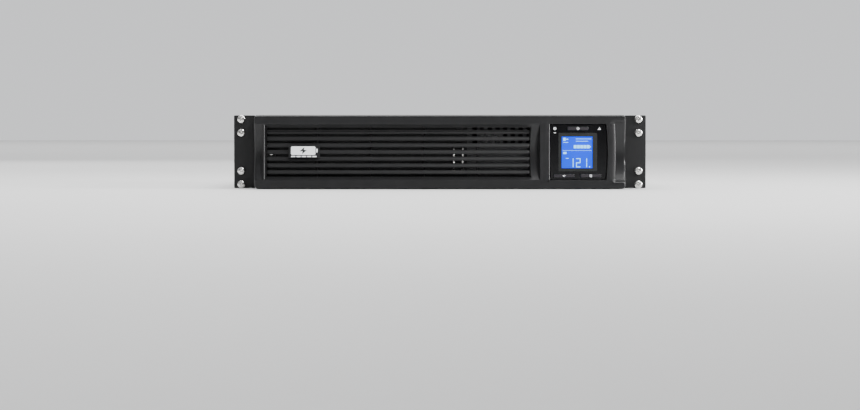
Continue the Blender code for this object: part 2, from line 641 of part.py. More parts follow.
def transformer():
    """Laminated core round its winding, in a folded steel cradle."""
    frame = empty("transformer_frame", (-0.145, 0.078, 0))
    half_x, half_y, low, high = 0.048, 0.040, 0.0165, 0.0645
    limb, centre_limb = 0.016, 0.016
    core = solid("transformer_core", box((-half_x, -half_y, low), (half_x, half_y, high)), "core_steel", frame)
    windows = [
        box((min(s * centre_limb, s * 0.032), -half_y + limb, 0), (max(s * centre_limb, s * 0.032), half_y - limb, 0.1)) for s in (-1, 1)
    ]
    cut(core, *windows)
    coil_x, coil_y = 0.032 - GAP, half_y - limb - GAP
    coil = solid("transformer_winding", box((-coil_x, -coil_y, low - 0.012), (coil_x, coil_y, high + 0.012)), "winding_tape", frame)
    round_edges(coil, 0.004, 3)
    cut(coil, box((-centre_limb - GAP, -0.1, low - GAP), (centre_limb + GAP, 0.1, high + GAP)))
    wall, floor = 0.0015, SHEET + GAP
    cradle = solid(
        "transformer_cradle", box((-half_x - 0.014, -half_y + 0.004, floor), (half_x + 0.014, half_y - 0.004, floor + wall)), "zinc", frame
    )
    side = half_x + GAP
    walls = [
        box((min(s * side, s * (side + wall)), -half_y + 0.004, floor + wall / 2), (max(s * side, s * (side + wall)), half_y - 0.004, 0.058))
        for s in (-1, 1)
    ]
    join(cradle, *walls)


def heatsinks():
    """Two finned extrusions standing on the main board."""
    thick, height, length, fin_gap = 0.024, 0.055, 0.070, 0.0040
    for name, y in (("heatsink_front", -0.075), ("heatsink_rear", 0.030)):
        sink = solid(name, box((-thick / 2, -length / 2, 0), (thick / 2, length / 2, height)), "aluminium", None, (0.060, y, 0.0099))
        gaps = [
            box((-thick / 2 + 0.004, -length / 2 + 0.003 + 0.0067 * i, -0.01), (thick / 2 + 0.01, -length / 2 + 0.003 + 0.0067 * i + fin_gap, height + 0.01))
            for i in range(10)
        ]
        cut(sink, *gaps)


def board_parts():
    """Reservoir capacitors on the main board."""
    for number, y in enumerate((-0.092, -0.052), 1):
        can = solid(f"capacitor_{number}", rod((0, 0, 0.0225), 0.015, 0.045, "Z", 20), "black_plastic", None, (0.115, y, 0.0099))
        round_edges(can, 0.001, 2, math.radians(60))


def cables():
    """Ribbon lead from the display board to the main board, and the lead from the battery socket."""
    display_route = [
        (DISPLAY_X, FRONT + 0.0151, MID), (DISPLAY_X, EAR_FACE, MID), (DISPLAY_X - 0.002, EAR_FACE + 0.014, MID - 0.004),
        (DISPLAY_X - 0.004, EAR_FACE + 0.030, MID - 0.020), (DISPLAY_X - 0.004, EAR_FACE + 0.037, 0.0180),
        (DISPLAY_X - 0.004, EAR_FACE + 0.037, 0.0140), (DISPLAY_X - 0.004, EAR_FACE + 0.037, 0.0100),
    ]
    wire("display_cable", display_route, 0.004, "grey_wire")
    bay_rear = EAR_FACE + SHEET + GAP + 0.1805
    battery_route = [
        (BAY_X, bay_rear + GAP, 0.040), (BAY_X, bay_rear + 0.004, 0.040), (BAY_X, bay_rear + 0.008, 0.040),
        (BAY_X + 0.030, bay_rear + 0.018, 0.030),
        (-0.020, bay_rear + 0.018, 0.020), (0.012, bay_rear + 0.018, 0.020), (0.030, bay_rear + 0.018, 0.022),
        (0.036, bay_rear + 0.018, 0.017), (0.036, bay_rear + 0.018, 0.0135), (0.036, bay_rear + 0.018, 0.0100),
    ]
    wire("battery_cable", battery_route, 0.0055, "black_wire")


# ---------------------------------------------------------------- rear panel fittings
def outlet_banks():
    """Two rows of three grounded sockets, each moulded as one snap-in bank."""
    half_long, half_high, flange = 0.0510, 0.0140, 0.0018
    for name, z in zip(("outlet_bank_lower", "outlet_bank_upper"), OUTLET_HEIGHTS):
        bank = solid(name, box((-half_long, -0.020, -half_high), (half_long, GAP + flange, half_high)), "black_plastic", None, (OUTLETS_X, REAR_FACE, z))
        join(bank, box((-half_long - 0.002, GAP, -half_high - 0.002), (half_long + 0.002, GAP + flange, half_high + 0.002)))
        holes = []
        for i in (-1, 0, 1):
            x = i * OUTLET_PITCH
            holes.append(box((x - 0.00725, -0.014, -0.0010), (x - 0.00545, 0.01, 0.0080)))
            holes.append(box((x + 0.00545, -0.014, 0.0000), (x + 0.00725, 0.01, 0.0070)))
            holes.append(rod((x, -0.002, -0.0075), 0.0026, 0.024, sides=12))
        cut(bank, *holes)


def power_inlet():
    """Three-pin appliance inlet: a flanged body, its shaped recess and its pins."""
    x, z = INLET_AT
    body = solid("power_inlet", box((-0.0135, -0.024, -0.0100), (0.0135, GAP + 0.0025, 0.0100)), "black_plastic", None, (x, REAR_FACE, z))
    join(body, box((-0.0240, GAP, -0.0140), (0.0240, GAP + 0.0025, 0.0140)))
    half_x, half_z, chamfer = 0.0120, 0.0083, 0.0045
    recess = [(-half_x, -half_z), (half_x, -half_z), (half_x, half_z - chamfer), (half_x - chamfer, half_z), (-half_x + chamfer, half_z), (-half_x, half_z - chamfer)]
    cut(body, plate(recess, -0.018, 0.01))
    pins = [box((px - 0.001, -0.019, pz - 0.002), (px + 0.001, -0.002, pz + 0.002)) for px, pz in ((-0.007, -0.0012), (0.007, -0.0012), (0, 0.0028))]
    join(body, *pins)


def circuit_breaker():
    """Push-to-reset breaker: its body behind the panel, the collar outside and the button in its bore."""
    x, z = BREAKER_AT
    pivot = empty("breaker_button_slide", (x, REAR_FACE, z))
    body = solid("breaker_body", box((-0.0075, -0.034, -0.0130), (0.0075, -0.0019, 0.0130)), "black_plastic", pivot)
    join(body, rod((0, -0.0005, 0), 0.0056, 0.0045, sides=20))
    join(body, rod((0, 0.00155, 0), 0.0085, 0.0025, sides=20))
    cut(body, rod((0, 0, 0), 0.0042, 0.020, sides=20))
    stem = [(0, REAR_PROUD), (0.0030, REAR_PROUD), (0.0036, REAR_PROUD - 0.0006), (0.0036, -0.0085), (0, -0.0085)]
    turned("breaker_button", stem, "black_plastic", pivot, (0, 0, 0), 16)


def data_ports():
    """Square data socket and the wider eight-way one, on a small board behind the panel."""
    usb = solid("usb_port", box((-0.0060, -0.016, -0.0055), (0.0060, GAP, 0.0055)), "zinc", None, (PORTS_X, REAR_FACE, USB_Z))
    cut(usb, box((-0.0043, -0.0135, -0.0039), (0.0043, 0.01, 0.0039)))
    join(usb, box((-0.0028, -0.0140, -0.0016), (0.0028, -0.0030, 0.0016)))
    serial = solid("serial_port", box((-0.0082, -0.016, -0.0068), (0.0082, GAP, 0.0068)), "black_plastic", None, (PORTS_X, REAR_FACE, SERIAL_Z))
    cut(serial, box((-0.0059, -0.0135, -0.0035), (0.0059, 0.01, 0.0045)))
    cut(serial, box((-0.0031, -0.0130, -0.0055), (0.0031, 0.011, -0.0030)))
    solid("comms_board", box((PORTS_X - 0.012, REAR_FACE - 0.0180, 0.012), (PORTS_X + 0.012, REAR_FACE - 0.0164, 0.072)), "board_green")


def ground_screw():
    profile = [(0, 0.0), (0.0020, 0.0), (0.0020, 0.0088), (0.0042, 0.0088), (0.0042, 0.0108), (0.0030, 0.0116), (0, 0.0118)]
    x, z = GROUND_AT
    turned("ground_screw", profile[::-1], "nickel", None, (x, REAR_FACE - 0.0085, z), 12)


def fan(axis):
    """Square fan body with its motor mount, the bladed rotor and the wire guard outside."""
    half, rear = FAN_SIZE / 2, -SHEET - GAP
    front = rear - FAN_DEPTH
    frame = solid("fan_frame", box((-half, front, -half), (half, rear, half)), "black_plastic", axis)
    round_edges(frame, 0.003, 2, math.radians(60))
    cut(frame, rod((0, (front + rear) / 2, 0), FAN_BORE, FAN_DEPTH + 0.01, sides=40))
    strut_depth = 0.003
    struts = [
        moved(box((-0.0400, rear - strut_depth, -0.0015), (0.0400, rear - 0.0002, 0.0015)), Matrix.Rotation(math.radians(a), 4, "Y"))
        for a in (20, 110)
    ]
    for strut in struts:
        join(frame, strut)
    join(frame, rod((0, rear - 0.0027, 0), 0.0165, 0.005, sides=24))
    cut(frame, rod((0, rear - 0.004, 0), 0.0019, 0.0044, sides=12))
    holes = [rod((sx * FAN_HOLE, (front + rear) / 2, sz * FAN_HOLE), 0.0022, FAN_DEPTH + 0.01, sides=8) for sx in (-1, 1) for sz in (-1, 1)]
    cut(frame, *holes)

    hub_front, hub_rear = front + 0.0015, rear - 0.0060
    rotor = solid("fan_rotor", rod((0, (hub_front + hub_rear) / 2, 0), 0.0165, hub_rear - hub_front, sides=24), "black_plastic", axis)
    join(rotor, rod((0, hub_rear + 0.0005, 0), 0.0015, 0.0045, sides=12))
    blade_count, pitch = 7, math.radians(38)
    blade = box((-0.0105, -0.0008, 0.0150), (0.0105, 0.0008, 0.0355))
    middle = Matrix.Translation((0, (hub_front + hub_rear) / 2, 0))
    for i in range(blade_count):
        join(rotor, moved(blade, middle @ Matrix.Rotation(2 * math.pi * i / blade_count, 4, "Y") @ Matrix.Rotation(pitch, 4, "Z")))

    guard_y, wire_radius = GAP + 0.0010, 0.0009
    reach = FAN_HOLE * math.sqrt(2) + 0.001
    guard = solid("fan_guard", moved(rod((0, 0, 0), wire_radius, 2 * reach, "X", 6), Matrix.Translation((0, guard_y, 0)) @ Matrix.Rotation(math.radians(45), 4, "Y")), "nickel", axis)
    join(guard, moved(rod((0, 0, 0), wire_radius, 2 * reach, "X", 6), Matrix.Translation((0, guard_y, 0)) @ Matrix.Rotation(math.radians(-45), 4, "Y")))
    for ring_radius in (0.010, 0.018, 0.026, 0.034):
        join_ring(guard, ring_radius, wire_radius, guard_y)


def join_ring(obj, ring_radius, wire_radius, y):
    """Joins a wire ring about the Y axis to obj."""
    bpy.ops.mesh.primitive_torus_add(
        major_radius=ring_radius, minor_radius=wire_radius, major_segments=28, minor_segments=6, rotation=(math.pi / 2, 0, 0), location=(0, y, 0)
    )
    ring = bpy.context.active_object
    ring.name = f"{obj.name}_ring_{len(obj.modifiers)}"
    for collection in list(ring.users_collection):
        collection.objects.unlink(ring)
    HELPERS.objects.link(ring)
    ring.parent = obj
    ring.hide_render = True
    ring.display_type = "WIRE"
    modifier = obj.modifiers.new("Union", "BOOLEAN")
    modifier.object = ring
    modifier.operation = "UNION"


# ---------------------------------------------------------------- assembly
def build():
    chassis_base()
    top_cover()
    rear_panel()
    front_bulkhead()
    battery_bay()
    rack_ears()
    rack_screws()

    bezel = empty("bezel", (0, FRONT, MID))
    bezel_frame(bezel)
    louvre_grille(bezel)
    badge(bezel)

    panel = empty("display", (DISPLAY_X, FRONT, MID))
    display(panel)
    for name in BUTTON_PLACES:
        button(name, panel)

    tray = empty("battery", (BAY_X, EAR_FACE, 0))
    battery_tray(tray)
    batteries(tray)
    battery_leads(tray)
    battery_connector(tray)
    tray_handle(tray)
    thumb_screws(tray)

    main_board()
    transformer()
    heatsinks()
    board_parts()
    cables()

    outlet_banks()
    power_inlet()
    circuit_breaker()
    data_ports()
    ground_screw()
    fan(empty("fan_axis", (FAN_X, REAR_FACE, MID)))

    for obj in PARTS.objects:
        if obj.type == "MESH" and len(obj.data.polygons):
            round_shading(obj)


clear_scene()
PARTS = new_collection("uninterruptible_power_supply")
HELPERS = new_collection("cutters")
build()
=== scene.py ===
"""Looks for a rack-mount uninterruptible power supply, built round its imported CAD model.

Lengths are in millimetres unless a name says otherwise, in the row frame: +X right seen from
the front, +Y to the rear, +Z up. A face at the front has the smallest y.
"""

import math
import random

import bmesh
import bpy
import numpy as np
from mathutils import Matrix, Vector


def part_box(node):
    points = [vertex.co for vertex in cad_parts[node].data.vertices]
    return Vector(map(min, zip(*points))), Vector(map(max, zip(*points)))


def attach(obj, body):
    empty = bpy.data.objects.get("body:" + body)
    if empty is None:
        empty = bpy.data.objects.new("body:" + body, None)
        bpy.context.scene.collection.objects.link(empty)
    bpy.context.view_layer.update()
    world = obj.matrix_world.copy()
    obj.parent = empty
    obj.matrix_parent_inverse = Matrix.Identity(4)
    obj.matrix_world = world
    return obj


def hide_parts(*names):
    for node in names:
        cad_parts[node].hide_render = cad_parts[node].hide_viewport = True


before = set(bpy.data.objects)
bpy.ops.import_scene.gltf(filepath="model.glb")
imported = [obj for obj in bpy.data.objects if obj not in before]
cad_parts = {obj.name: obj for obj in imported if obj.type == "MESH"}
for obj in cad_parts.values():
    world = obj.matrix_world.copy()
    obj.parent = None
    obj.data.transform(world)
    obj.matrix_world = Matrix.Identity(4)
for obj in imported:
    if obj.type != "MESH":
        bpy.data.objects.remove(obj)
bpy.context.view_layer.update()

MM = 0.001
TURN = 2 * math.pi
# a lathe's profile is made about Z and turned by these
AXES = {
    "X": Matrix.Rotation(math.pi / 2, 3, "Y"),
    "Y": Matrix.Rotation(-math.pi / 2, 3, "X"),
    "Z": Matrix.Identity(3),
}
# a part made facing the front is turned by these to face another way
FACING = {
    "rear": Matrix.Rotation(math.pi, 4, "Z"),
    "left": Matrix.Rotation(-math.pi / 2, 4, "Z"),
    "right": Matrix.Rotation(math.pi / 2, 4, "Z"),
    "top": Matrix.Rotation(-math.pi / 2, 4, "X"),
}


def node_box(name):
    """A CAD node's lowest and highest corner, in millimetres."""
    low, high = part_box(name)
    return low / MM, high / MM


def node_middle(name):
    """The x and z of a CAD node's middle."""
    low, high = node_box(name)
    return (low.x + high.x) / 2, (low.z + high.z) / 2


# ---------------------------------------------------------------- outlines, as (x, z) points
def circle(x, z, radius, count=32):
    angles = [TURN * i / count for i in range(count)]
    return [(x + radius * math.cos(a), z + radius * math.sin(a)) for a in angles]


def arc(x, z, radius, start, stop, count=5):
    """Points on an arc, its angles in degrees."""
    angles = [math.radians(start + (stop - start) * i / count) for i in range(count + 1)]
    return [(x + radius * math.cos(a), z + radius * math.sin(a)) for a in angles]


def rounded(x0, z0, x1, z1, radius, count=5):
    """Rectangle with round corners; radius is one number or four, anticlockwise from the lower left."""
    radii = radius if isinstance(radius, tuple) else (radius,) * 4
    corners = ((x0, z0, 1, 1, 2), (x1, z0, -1, 1, 3), (x1, z1, -1, -1, 0), (x0, z1, 1, -1, 1))
    points = []
    for (x, z, sx, sz, quarters), r in zip(corners, radii):
        if r <= 0:
            points.append((x, z))
            continue
        for i in range(count + 1):
            angle = math.pi / 2 * quarters + math.pi / 2 * i / count
            points.append((x + sx * r + r * math.cos(angle), z + sz * r + r * math.sin(angle)))
    return points


def around(centre, half_x, half_z, radius=0.5, count=4):
    """Rounded rectangle about a point."""
    x, z = centre
    return rounded(x - half_x, z - half_z, x + half_x, z + half_z, radius, count)


def shifted(points, x, z, turn=0.0, scale=1.0):
    c, s = math.cos(turn) * scale, math.sin(turn) * scale
    return [(x + c * a - s * b, z + s * a + c * b) for a, b in points]


# ---------------------------------------------------------------- meshes
def in_scene(name, data):
    obj = bpy.data.objects.new(name, data)
    bpy.context.scene.collection.objects.link(obj)
    return obj


def evaluated_mesh(obj):
    graph = bpy.context.evaluated_depsgraph_get()
    return bpy.data.meshes.new_from_object(obj.evaluated_get(graph))


class Shape:
    """Closed mesh parts gathered in millimetres and turned into one piece."""

    def __init__(self):
        self.bm = bmesh.new()

    def box(self, low, high, radius=0.0, segments=2):
        low, high = Vector(low), Vector(high)
        place = Matrix.Translation((low + high) / 2) @ Matrix.Diagonal((*(high - low), 1.0))
        made = bmesh.ops.create_cube(self.bm, size=1.0, matrix=place)
        if radius:
            edges = list(dict.fromkeys(e for v in made["verts"] for e in v.link_edges))  # each once, in a fixed order
            bmesh.ops.bevel(self.bm, geom=edges, offset=radius, segments=segments, profile=0.5, affect="EDGES")
        return self

    def block(self, x, z, half_x, half_z, y0, y1, radius=0.0, segments=2):
        """Box about (x, z), from y0 to y1."""
        return self.box((x - half_x, y0, z - half_z), (x + half_x, y1, z + half_z), radius, segments)

    def loft(self, rings, loop=False):
        """Skin over rings of as many points each, capped, or with the last ring joined to the first."""
        rows = [[self.bm.verts.new(p) for p in ring] for ring in rings]
        pairs = list(zip(rows, rows[1:])) + ([(rows[-1], rows[0])] if loop else [])
        for a, b in pairs:
            for i in range(len(a)):
                j = (i + 1) % len(a)
                self.bm.faces.new((a[i], a[j], b[j], b[i]))
        if not loop:
            self.bm.faces.new(rows[0][::-1])
            self.bm.faces.new(rows[-1])
        return self

    def lathe(self, profile, at, axis="Y", steps=32, loop=False, teeth=0.0):
        """Turns (radius, distance along axis) points about an axis through at; teeth is the depth of a knurl."""
        widest = max(r for r, _ in profile)
        rings = []
        for r, h in profile:
            reach = [r - (teeth if i % 2 and r > widest - 0.01 else 0.0) for i in range(steps)]
            flat = [(q * math.cos(TURN * i / steps), q * math.sin(TURN * i / steps), h) for i, q in enumerate(reach)]
            rings.append([Vector(at) + AXES[axis] @ Vector(p) for p in flat])
        return self.loft(rings, loop)

    def tube(self, path, radius, sides, loop=False):
        """Round bar along a path, with a frame carried along it without twist."""
        path = [Vector(p) for p in path]
        count = len(path)
        rings, across = [], None
        for i, point in enumerate(path):
            before = path[i - 1] if loop or i else point
            after = path[(i + 1) % count] if loop or i < count - 1 else point
            along = (after - before).normalized()
            if across is None:
                across = along.orthogonal().normalized()
            across = (across - along * across.dot(along)).normalized()
            other = along.cross(across)
            rings.append([point + across * a + other * b for a, b in circle(0, 0, radius, sides)])
        return self.loft(rings, loop)

    def plate(self, outer, holes, y0, y1, edge=0.0, segments=2, matrix=Matrix()):
        """Flat plate in the XZ plane from y0 to y1, with holes and rounded edges."""
        curve = bpy.data.curves.new("plate", "CURVE")
        curve.dimensions, curve.fill_mode = "2D", "BOTH"
        curve.extrude = (y1 - y0) / 2 - edge
        curve.bevel_depth, curve.bevel_resolution, curve.offset = edge, segments - 1, -edge
        for loop in (outer, *holes):
            spline = curve.splines.new("POLY")
            spline.points.add(len(loop) - 1)
            for point, (x, z) in zip(spline.points, loop):
                point.co = (x, z, 0.0, 1.0)
            spline.use_cyclic_u = True
        source = in_scene("plate", curve)
        mesh = evaluated_mesh(source)
        bpy.data.objects.remove(source)
        bpy.data.curves.remove(curve)
        mesh.transform(matrix @ Matrix.Translation((0, (y0 + y1) / 2, 0)) @ Matrix.Rotation(math.pi / 2, 4, "X"))
        self.bm.from_mesh(mesh)
        bpy.data.meshes.remove(mesh)
        return self

    def copied(self, name):
        mesh = bpy.data.meshes.new(name)
        self.bm.to_mesh(mesh)
        return mesh

    def mesh(self, other, matrix):
        """Adds a copy of another Shape."""
        copy = other.copied("copy")
        copy.transform(matrix)
        self.bm.from_mesh(copy)
        bpy.data.meshes.remove(copy)
        return self

    def weld(self):
        bmesh.ops.remove_doubles(self.bm, verts=self.bm.verts[:], dist=1e-4)

    def solve(self, cutter):
        """Cuts another Shape away from this one."""
        for shape in (self, cutter):
            shape.weld()
            bmesh.ops.recalc_face_normals(shape.bm, faces=shape.bm.faces[:])
        objects = [in_scene("solve", shape.copied("solve")) for shape in (self, cutter)]
        modifier = objects[0].modifiers.new("solve", "BOOLEAN")
        modifier.object, modifier.operation, modifier.solver = objects[1], "DIFFERENCE", "EXACT"
        result = evaluated_mesh(objects[0])
        self.bm.clear()
        self.bm.from_mesh(result)
        for mesh in (*(obj.data for obj in objects), result):
            bpy.data.meshes.remove(mesh)  # takes the object that holds it along
        return self

    def piece(self, name, material, slot, node=None, body="chassis", angle=32):
        """The finished object, riding on its body, in place of a CAD node where one is named."""
        self.weld()
        bmesh.ops.dissolve_degenerate(self.bm, edges=self.bm.edges[:], dist=1e-4)
        bmesh.ops.recalc_face_normals(self.bm, faces=self.bm.faces[:])
        mesh = self.copied(name)
        mesh.transform(Matrix.Scale(MM, 4))
        mesh.shade_smooth()
        mesh.set_sharp_from_angle(angle=math.radians(angle))
        mesh.materials.append(material)
        obj = in_scene(name, mesh)
        obj.modifiers.new("Even normals", "WEIGHTED_NORMAL").keep_sharp = True
        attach(obj, body)
        if node:
            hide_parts(node)


# ---------------------------------------------------------------- materials
class Graph:
    """The nodes of a material or a world."""

    def __init__(self, owner):
        owner.use_nodes = True
        self.nodes, self.links = owner.node_tree.nodes, owner.node_tree.links

    def fill(self, node, **inputs):
        """Sets a node's inputs: a socket is linked, and a constant is set. A _ in a name is a space."""
        for name, value in inputs.items():
            socket = node.inputs[name.replace("_", " ")]
            if isinstance(value, bpy.types.NodeSocket):
                self.links.new(value, socket)
            else:
                socket.default_value = value

    def add(self, kind, output, settings=None, **inputs):
        """A new node's output."""
        node = self.nodes.new("ShaderNode" + kind)
        for name, value in (settings or {}).items():
            setattr(node, name, value)
        self.fill(node, **inputs)
        return node.outputs[output]

    def where(self):
        return self.add("TexCoord", "Object")

    def spread(self, value, low, high, start=0.0, stop=1.0):
        """Maps a value from between start and stop to between low and high."""
        return self.add("MapRange", "Result", Value=value, From_Min=start, From_Max=stop, To_Min=low, To_Max=high)

    def mix(self, factor, a, b):
        return self.add("Mix", "Result", {"data_type": "RGBA"}, Factor=factor, A=a, B=b)

    def relief(self, height, strength, distance):
        return self.add("Bump", "Normal", Height=height, Strength=strength, Distance=distance)


def tree(name):
    made = bpy.data.materials.new(name)
    graph = Graph(made)
    return made, graph, graph.nodes["Principled BSDF"]


def opaque(colour, scale=1.0):
    return (*(min(1.0, c * scale) for c in colour), 1.0)


def surface(
    name, colour, rough, metal=0.0, shade=0.15, shade_scale=60.0, grain=0.0, grain_scale=2500.0,
    coat=0.0, rough_scale=90.0, specular=0.5, speckle=0.0, glow=None, strength=0.0,
):
    """Procedural surface: colour drifts by shade, roughness between its two limits.

    grain raises a fine texture, speckle adds sparse pale dots of dust or moulding, and glow gives off light: a backlit
    screen's own light, or a painted glow on print.
    """
    made, graph, shader = tree(name)
    graph.fill(shader, Metallic=metal, Specular_IOR_Level=specular, Coat_Weight=coat, Coat_Roughness=0.06)
    place = graph.where()

    def noise(scale, detail, seed):
        kind = {"noise_dimensions": "4D"}
        return graph.add("TexNoise", "Fac", kind, Scale=scale, Detail=detail, W=seed, Vector=place)

    def drift(low, high, *texture):
        return graph.spread(noise(*texture), low, high, 0.3, 0.7)

    base = graph.mix(drift(0.0, 1.0, shade_scale, 3.0, 1.7), opaque(colour, 1 - shade), opaque(colour, 1 + shade))
    if speckle:
        dots = graph.add("TexVoronoi", "Distance", Scale=grain_scale * 0.35, Vector=place)
        base = graph.mix(graph.spread(dots, speckle, 0.0, 0.10, 0.22), base, (0.55, 0.55, 0.56, 1.0))
    graph.fill(shader, Base_Color=base, Roughness=drift(*rough, rough_scale, 2.0, 5.3))
    if grain:
        graph.fill(shader, Normal=graph.relief(noise(grain_scale, 2.0, 9.1), grain, 0.0002))
    if glow:
        lit = graph.mix(drift(0.0, 1.0, 30.0, 1.0, 3.1), opaque(glow, 0.82), opaque(glow))
        graph.fill(shader, Emission_Color=lit, Emission_Strength=strength)
    return made


def layered(name, colour_a, colour_b, rough, metal, scale, direction, distortion, bump=0.3):
    """Surface in fine layers across one axis, as stacked steel, wound wire or extruded fins have."""
    made, graph, shader = tree(name)
    wave = graph.add(
        "TexWave", "Fac", {"bands_direction": direction},
        Scale=scale, Distortion=distortion, Detail=2.0, Vector=graph.where(),
    )
    graph.fill(
        shader, Metallic=metal, Base_Color=graph.mix(wave, opaque(colour_a), opaque(colour_b)),
        Roughness=graph.spread(wave, *rough), Normal=graph.relief(wave, bump, 0.0003),
    )
    return made


def circuit_board(name):
    """Green solder mask over tracks, with tinned pads."""
    made, graph, shader = tree(name)
    place = graph.where()
    tracks = graph.add(
        "TexBrick", "Color", {"offset": 0.37}, Vector=place,
        Scale=110.0, Mortar_Size=0.035, Brick_Width=0.9, Row_Height=0.28,
        Color1=(0.010, 0.105, 0.038, 1), Color2=(0.012, 0.125, 0.046, 1), Mortar=(0.022, 0.190, 0.075, 1),
    )
    pads = graph.spread(graph.add("TexVoronoi", "Distance", Scale=260.0, Vector=place), 1.0, 0.0, 0.16, 0.19)
    graph.fill(
        shader, Base_Color=graph.mix(pads, tracks, (0.55, 0.55, 0.52, 1)),
        Roughness=graph.spread(pads, 0.38, 0.22), Metallic=pads,
    )
    return made


MOULDED = (0.0090, 0.0090, 0.0096)
PLASTIC = surface(
    "moulded_black", MOULDED, (0.29, 0.36), shade=0.18, grain=0.10, grain_scale=3000, speckle=0.005, specular=0.34
)
SLAT = surface("slat_black", MOULDED, (0.32, 0.40), shade=0.12, grain=0.05, grain_scale=3000, specular=0.30)
POWDER = surface(
    "powder_coat", (0.0085, 0.0085, 0.0090), (0.40, 0.45), shade=0.06, shade_scale=600,
    grain=0.30, grain_scale=1500, rough_scale=800, speckle=0.006, specular=0.32,
)
PANEL = surface("gloss_panel", (0.004, 0.004, 0.0045), (0.07, 0.12), shade=0.2, rough_scale=25, specular=0.20)
PANEL_MATT = surface("screen_surround", (0.0125, 0.0135, 0.0135), (0.30, 0.36), shade=0.1, grain=0.05, specular=0.35)
CAP = surface("button_cap", (0.020, 0.018, 0.021), (0.30, 0.38), shade=0.12, grain=0.05, specular=0.35)
NICKEL = surface(
    "nickel_plate", (0.80, 0.79, 0.77), (0.16, 0.28), metal=1.0, shade=0.05,
    grain=0.04, grain_scale=900, rough_scale=400,
)
ZINC = surface(
    "zinc_plate", (0.56, 0.58, 0.59), (0.34, 0.40), metal=1.0, shade=0.06, shade_scale=220,
    grain=0.06, grain_scale=700, rough_scale=260, speckle=0.03,
)
STEEL = surface(
    "dull_steel", (0.085, 0.085, 0.088), (0.45, 0.52), metal=0.8, shade=0.06, shade_scale=300,
    grain=0.06, grain_scale=900, rough_scale=500,
)
SCREEN = surface(
    "screen_glow", (0.0, 0.010, 0.08), (0.22, 0.30), glow=(0.0, 0.052, 0.92), strength=2.0, specular=0.05
)
INK = surface(
    "screen_segments", (0.08, 0.18, 0.26), (0.3, 0.4), glow=(0.20, 0.62, 1.0), strength=2.6, specular=0.2
)
# white print on the badge, the buttons and the panel, with a faint painted glow that makes it read brighter than the
# lamps make it
PAINTED_GLOW_PRINT = surface("white_print_painted_glow", (0.80, 0.81, 0.82), (0.40, 0.50), shade=0.03, glow=(0.85, 0.88, 0.90), strength=0.35)
RESIN = surface(
    "socket_black", (0.011, 0.011, 0.0118), (0.28, 0.38), grain=0.10, grain_scale=1800, specular=0.38
)
BRASS = surface("brass", (0.72, 0.52, 0.24), (0.22, 0.35), metal=1.0, shade=0.08, grain=0.04, grain_scale=900)
BATTERY = surface(
    "battery_case", (0.024, 0.025, 0.027), (0.38, 0.46), shade=0.08, shade_scale=200,
    grain=0.15, grain_scale=1600, rough_scale=400, speckle=0.012,
)
GREY = surface("connector_grey", (0.22, 0.225, 0.23), (0.36, 0.46), shade=0.08, grain=0.12, grain_scale=1800)
RED = surface("red_insulation", (0.42, 0.018, 0.014), (0.32, 0.42), shade=0.10, grain=0.05)
BLACK_WIRE = surface("black_insulation", (0.012, 0.012, 0.012), (0.30, 0.42), shade=0.12, grain=0.05)
GREY_WIRE = surface("grey_insulation", (0.16, 0.165, 0.17), (0.36, 0.46), shade=0.10, grain=0.05)
SLEEVE = surface("capacitor_sleeve", (0.020, 0.024, 0.040), (0.20, 0.30), shade=0.12, coat=0.3)
CORE = layered("core_laminations", (0.20, 0.195, 0.19), (0.075, 0.072, 0.070), (0.40, 0.55), 0.7, 420.0, "Z", 0.6)
TAPE = layered("winding_tape", (0.56, 0.36, 0.06), (0.44, 0.27, 0.045), (0.30, 0.42), 0.0, 55.0, "Z", 1.2, 0.5)
FINS = layered("extruded_aluminium", (0.66, 0.67, 0.68), (0.56, 0.57, 0.585), (0.26, 0.38), 1.0, 500.0, "X", 0.4, 0.15)
BOARD = circuit_board("circuit_board")


# ---------------------------------------------------------------- bezel
FRONT = node_box("bezel_frame")[0].y
HALF, TOP = 216.0, 86.0
MID = TOP / 2
TINY = 1e-6
FILLET, CORNER = 2.5, 5.0
BEZEL_BACK, FACE_BACK = 31.7, 9.0  # depths of the rim's end and of the face's rear side
BAND = 32.5  # half height of the sunk band
LIP, LIP_DROP = 9.9, 0.2  # height where the sunk band starts, and the small drop it starts with
GRILLE = (-203.1, 106.6, 13.5, 72.5)
WINDOW = (127.9, 192.7, 10.6, 75.4)
HOLES = (GRILLE, WINDOW)
BLEND = 100.0  # x where the slope above and below the louvres starts to turn into the bowl
BOWL, WALL_STRIP = 115.6, 0.6  # the grid's columns that become the bowl's sloping wall
BOWL_END = BOWL + WALL_STRIP
SCOOP_INNER = (-206.0, 203.6)
SCOOP_DEEP, SCOOP_ROUND = 7.4, 1.1
STRIP, STRIP_ROUND = 196.0, 13.0  # where the right strip starts to turn, and its radius
PILLAR = (118.0, 126.5)  # the pillar left of the window
PILLAR_LOW, PILLAR_HALF, PILLAR_HOLLOW = 122.2, 4.2, 0.55  # middle, half width and depth of its hollow face
SKIN = 1.5  # least thickness of the face
RIDGE = 2.2  # radius of the round edge at the louvres' left end
SILL, SILL_RIGHT = 1.9, 0.9  # radius of the window's round edge at its left, and at its right
ROUND_STEPS = (0.0, 0.3, 0.55, 0.75, 0.9, 1.0)
RIM_STEPS = (0.0, 0.12, 0.45, 0.95, 1.65, FILLET)
# the grid's columns are pushed sideways by these, most at mid height, so edges bow
WARP_X = (
    -HALF, 60.0, 105.0, GRILLE[1], BOWL, BOWL_END, 118.0, 124.5, 127.9, 135.0, 180.0, 192.7, 196.0, 203.6, 206.0, HALF
)
WARP = (0.0, 0.0, -1.7, -1.7, -5.6, 0.0, 0.0, -1.2, 0.0, 0.0, 0.0, 1.9, 1.7, 1.2, 1.0, 0.0)


def quarter(q):
    """Depth of a unit round-over, from 0 on the face to 1 at the edge."""
    q = min(max(q, 0.0), 1.0)
    return 1.0 - math.sqrt(max(0.0, 1.0 - q * q))


def smooth(q):
    q = min(max(q, 0.0), 1.0)
    return q * q * (3 - 2 * q)


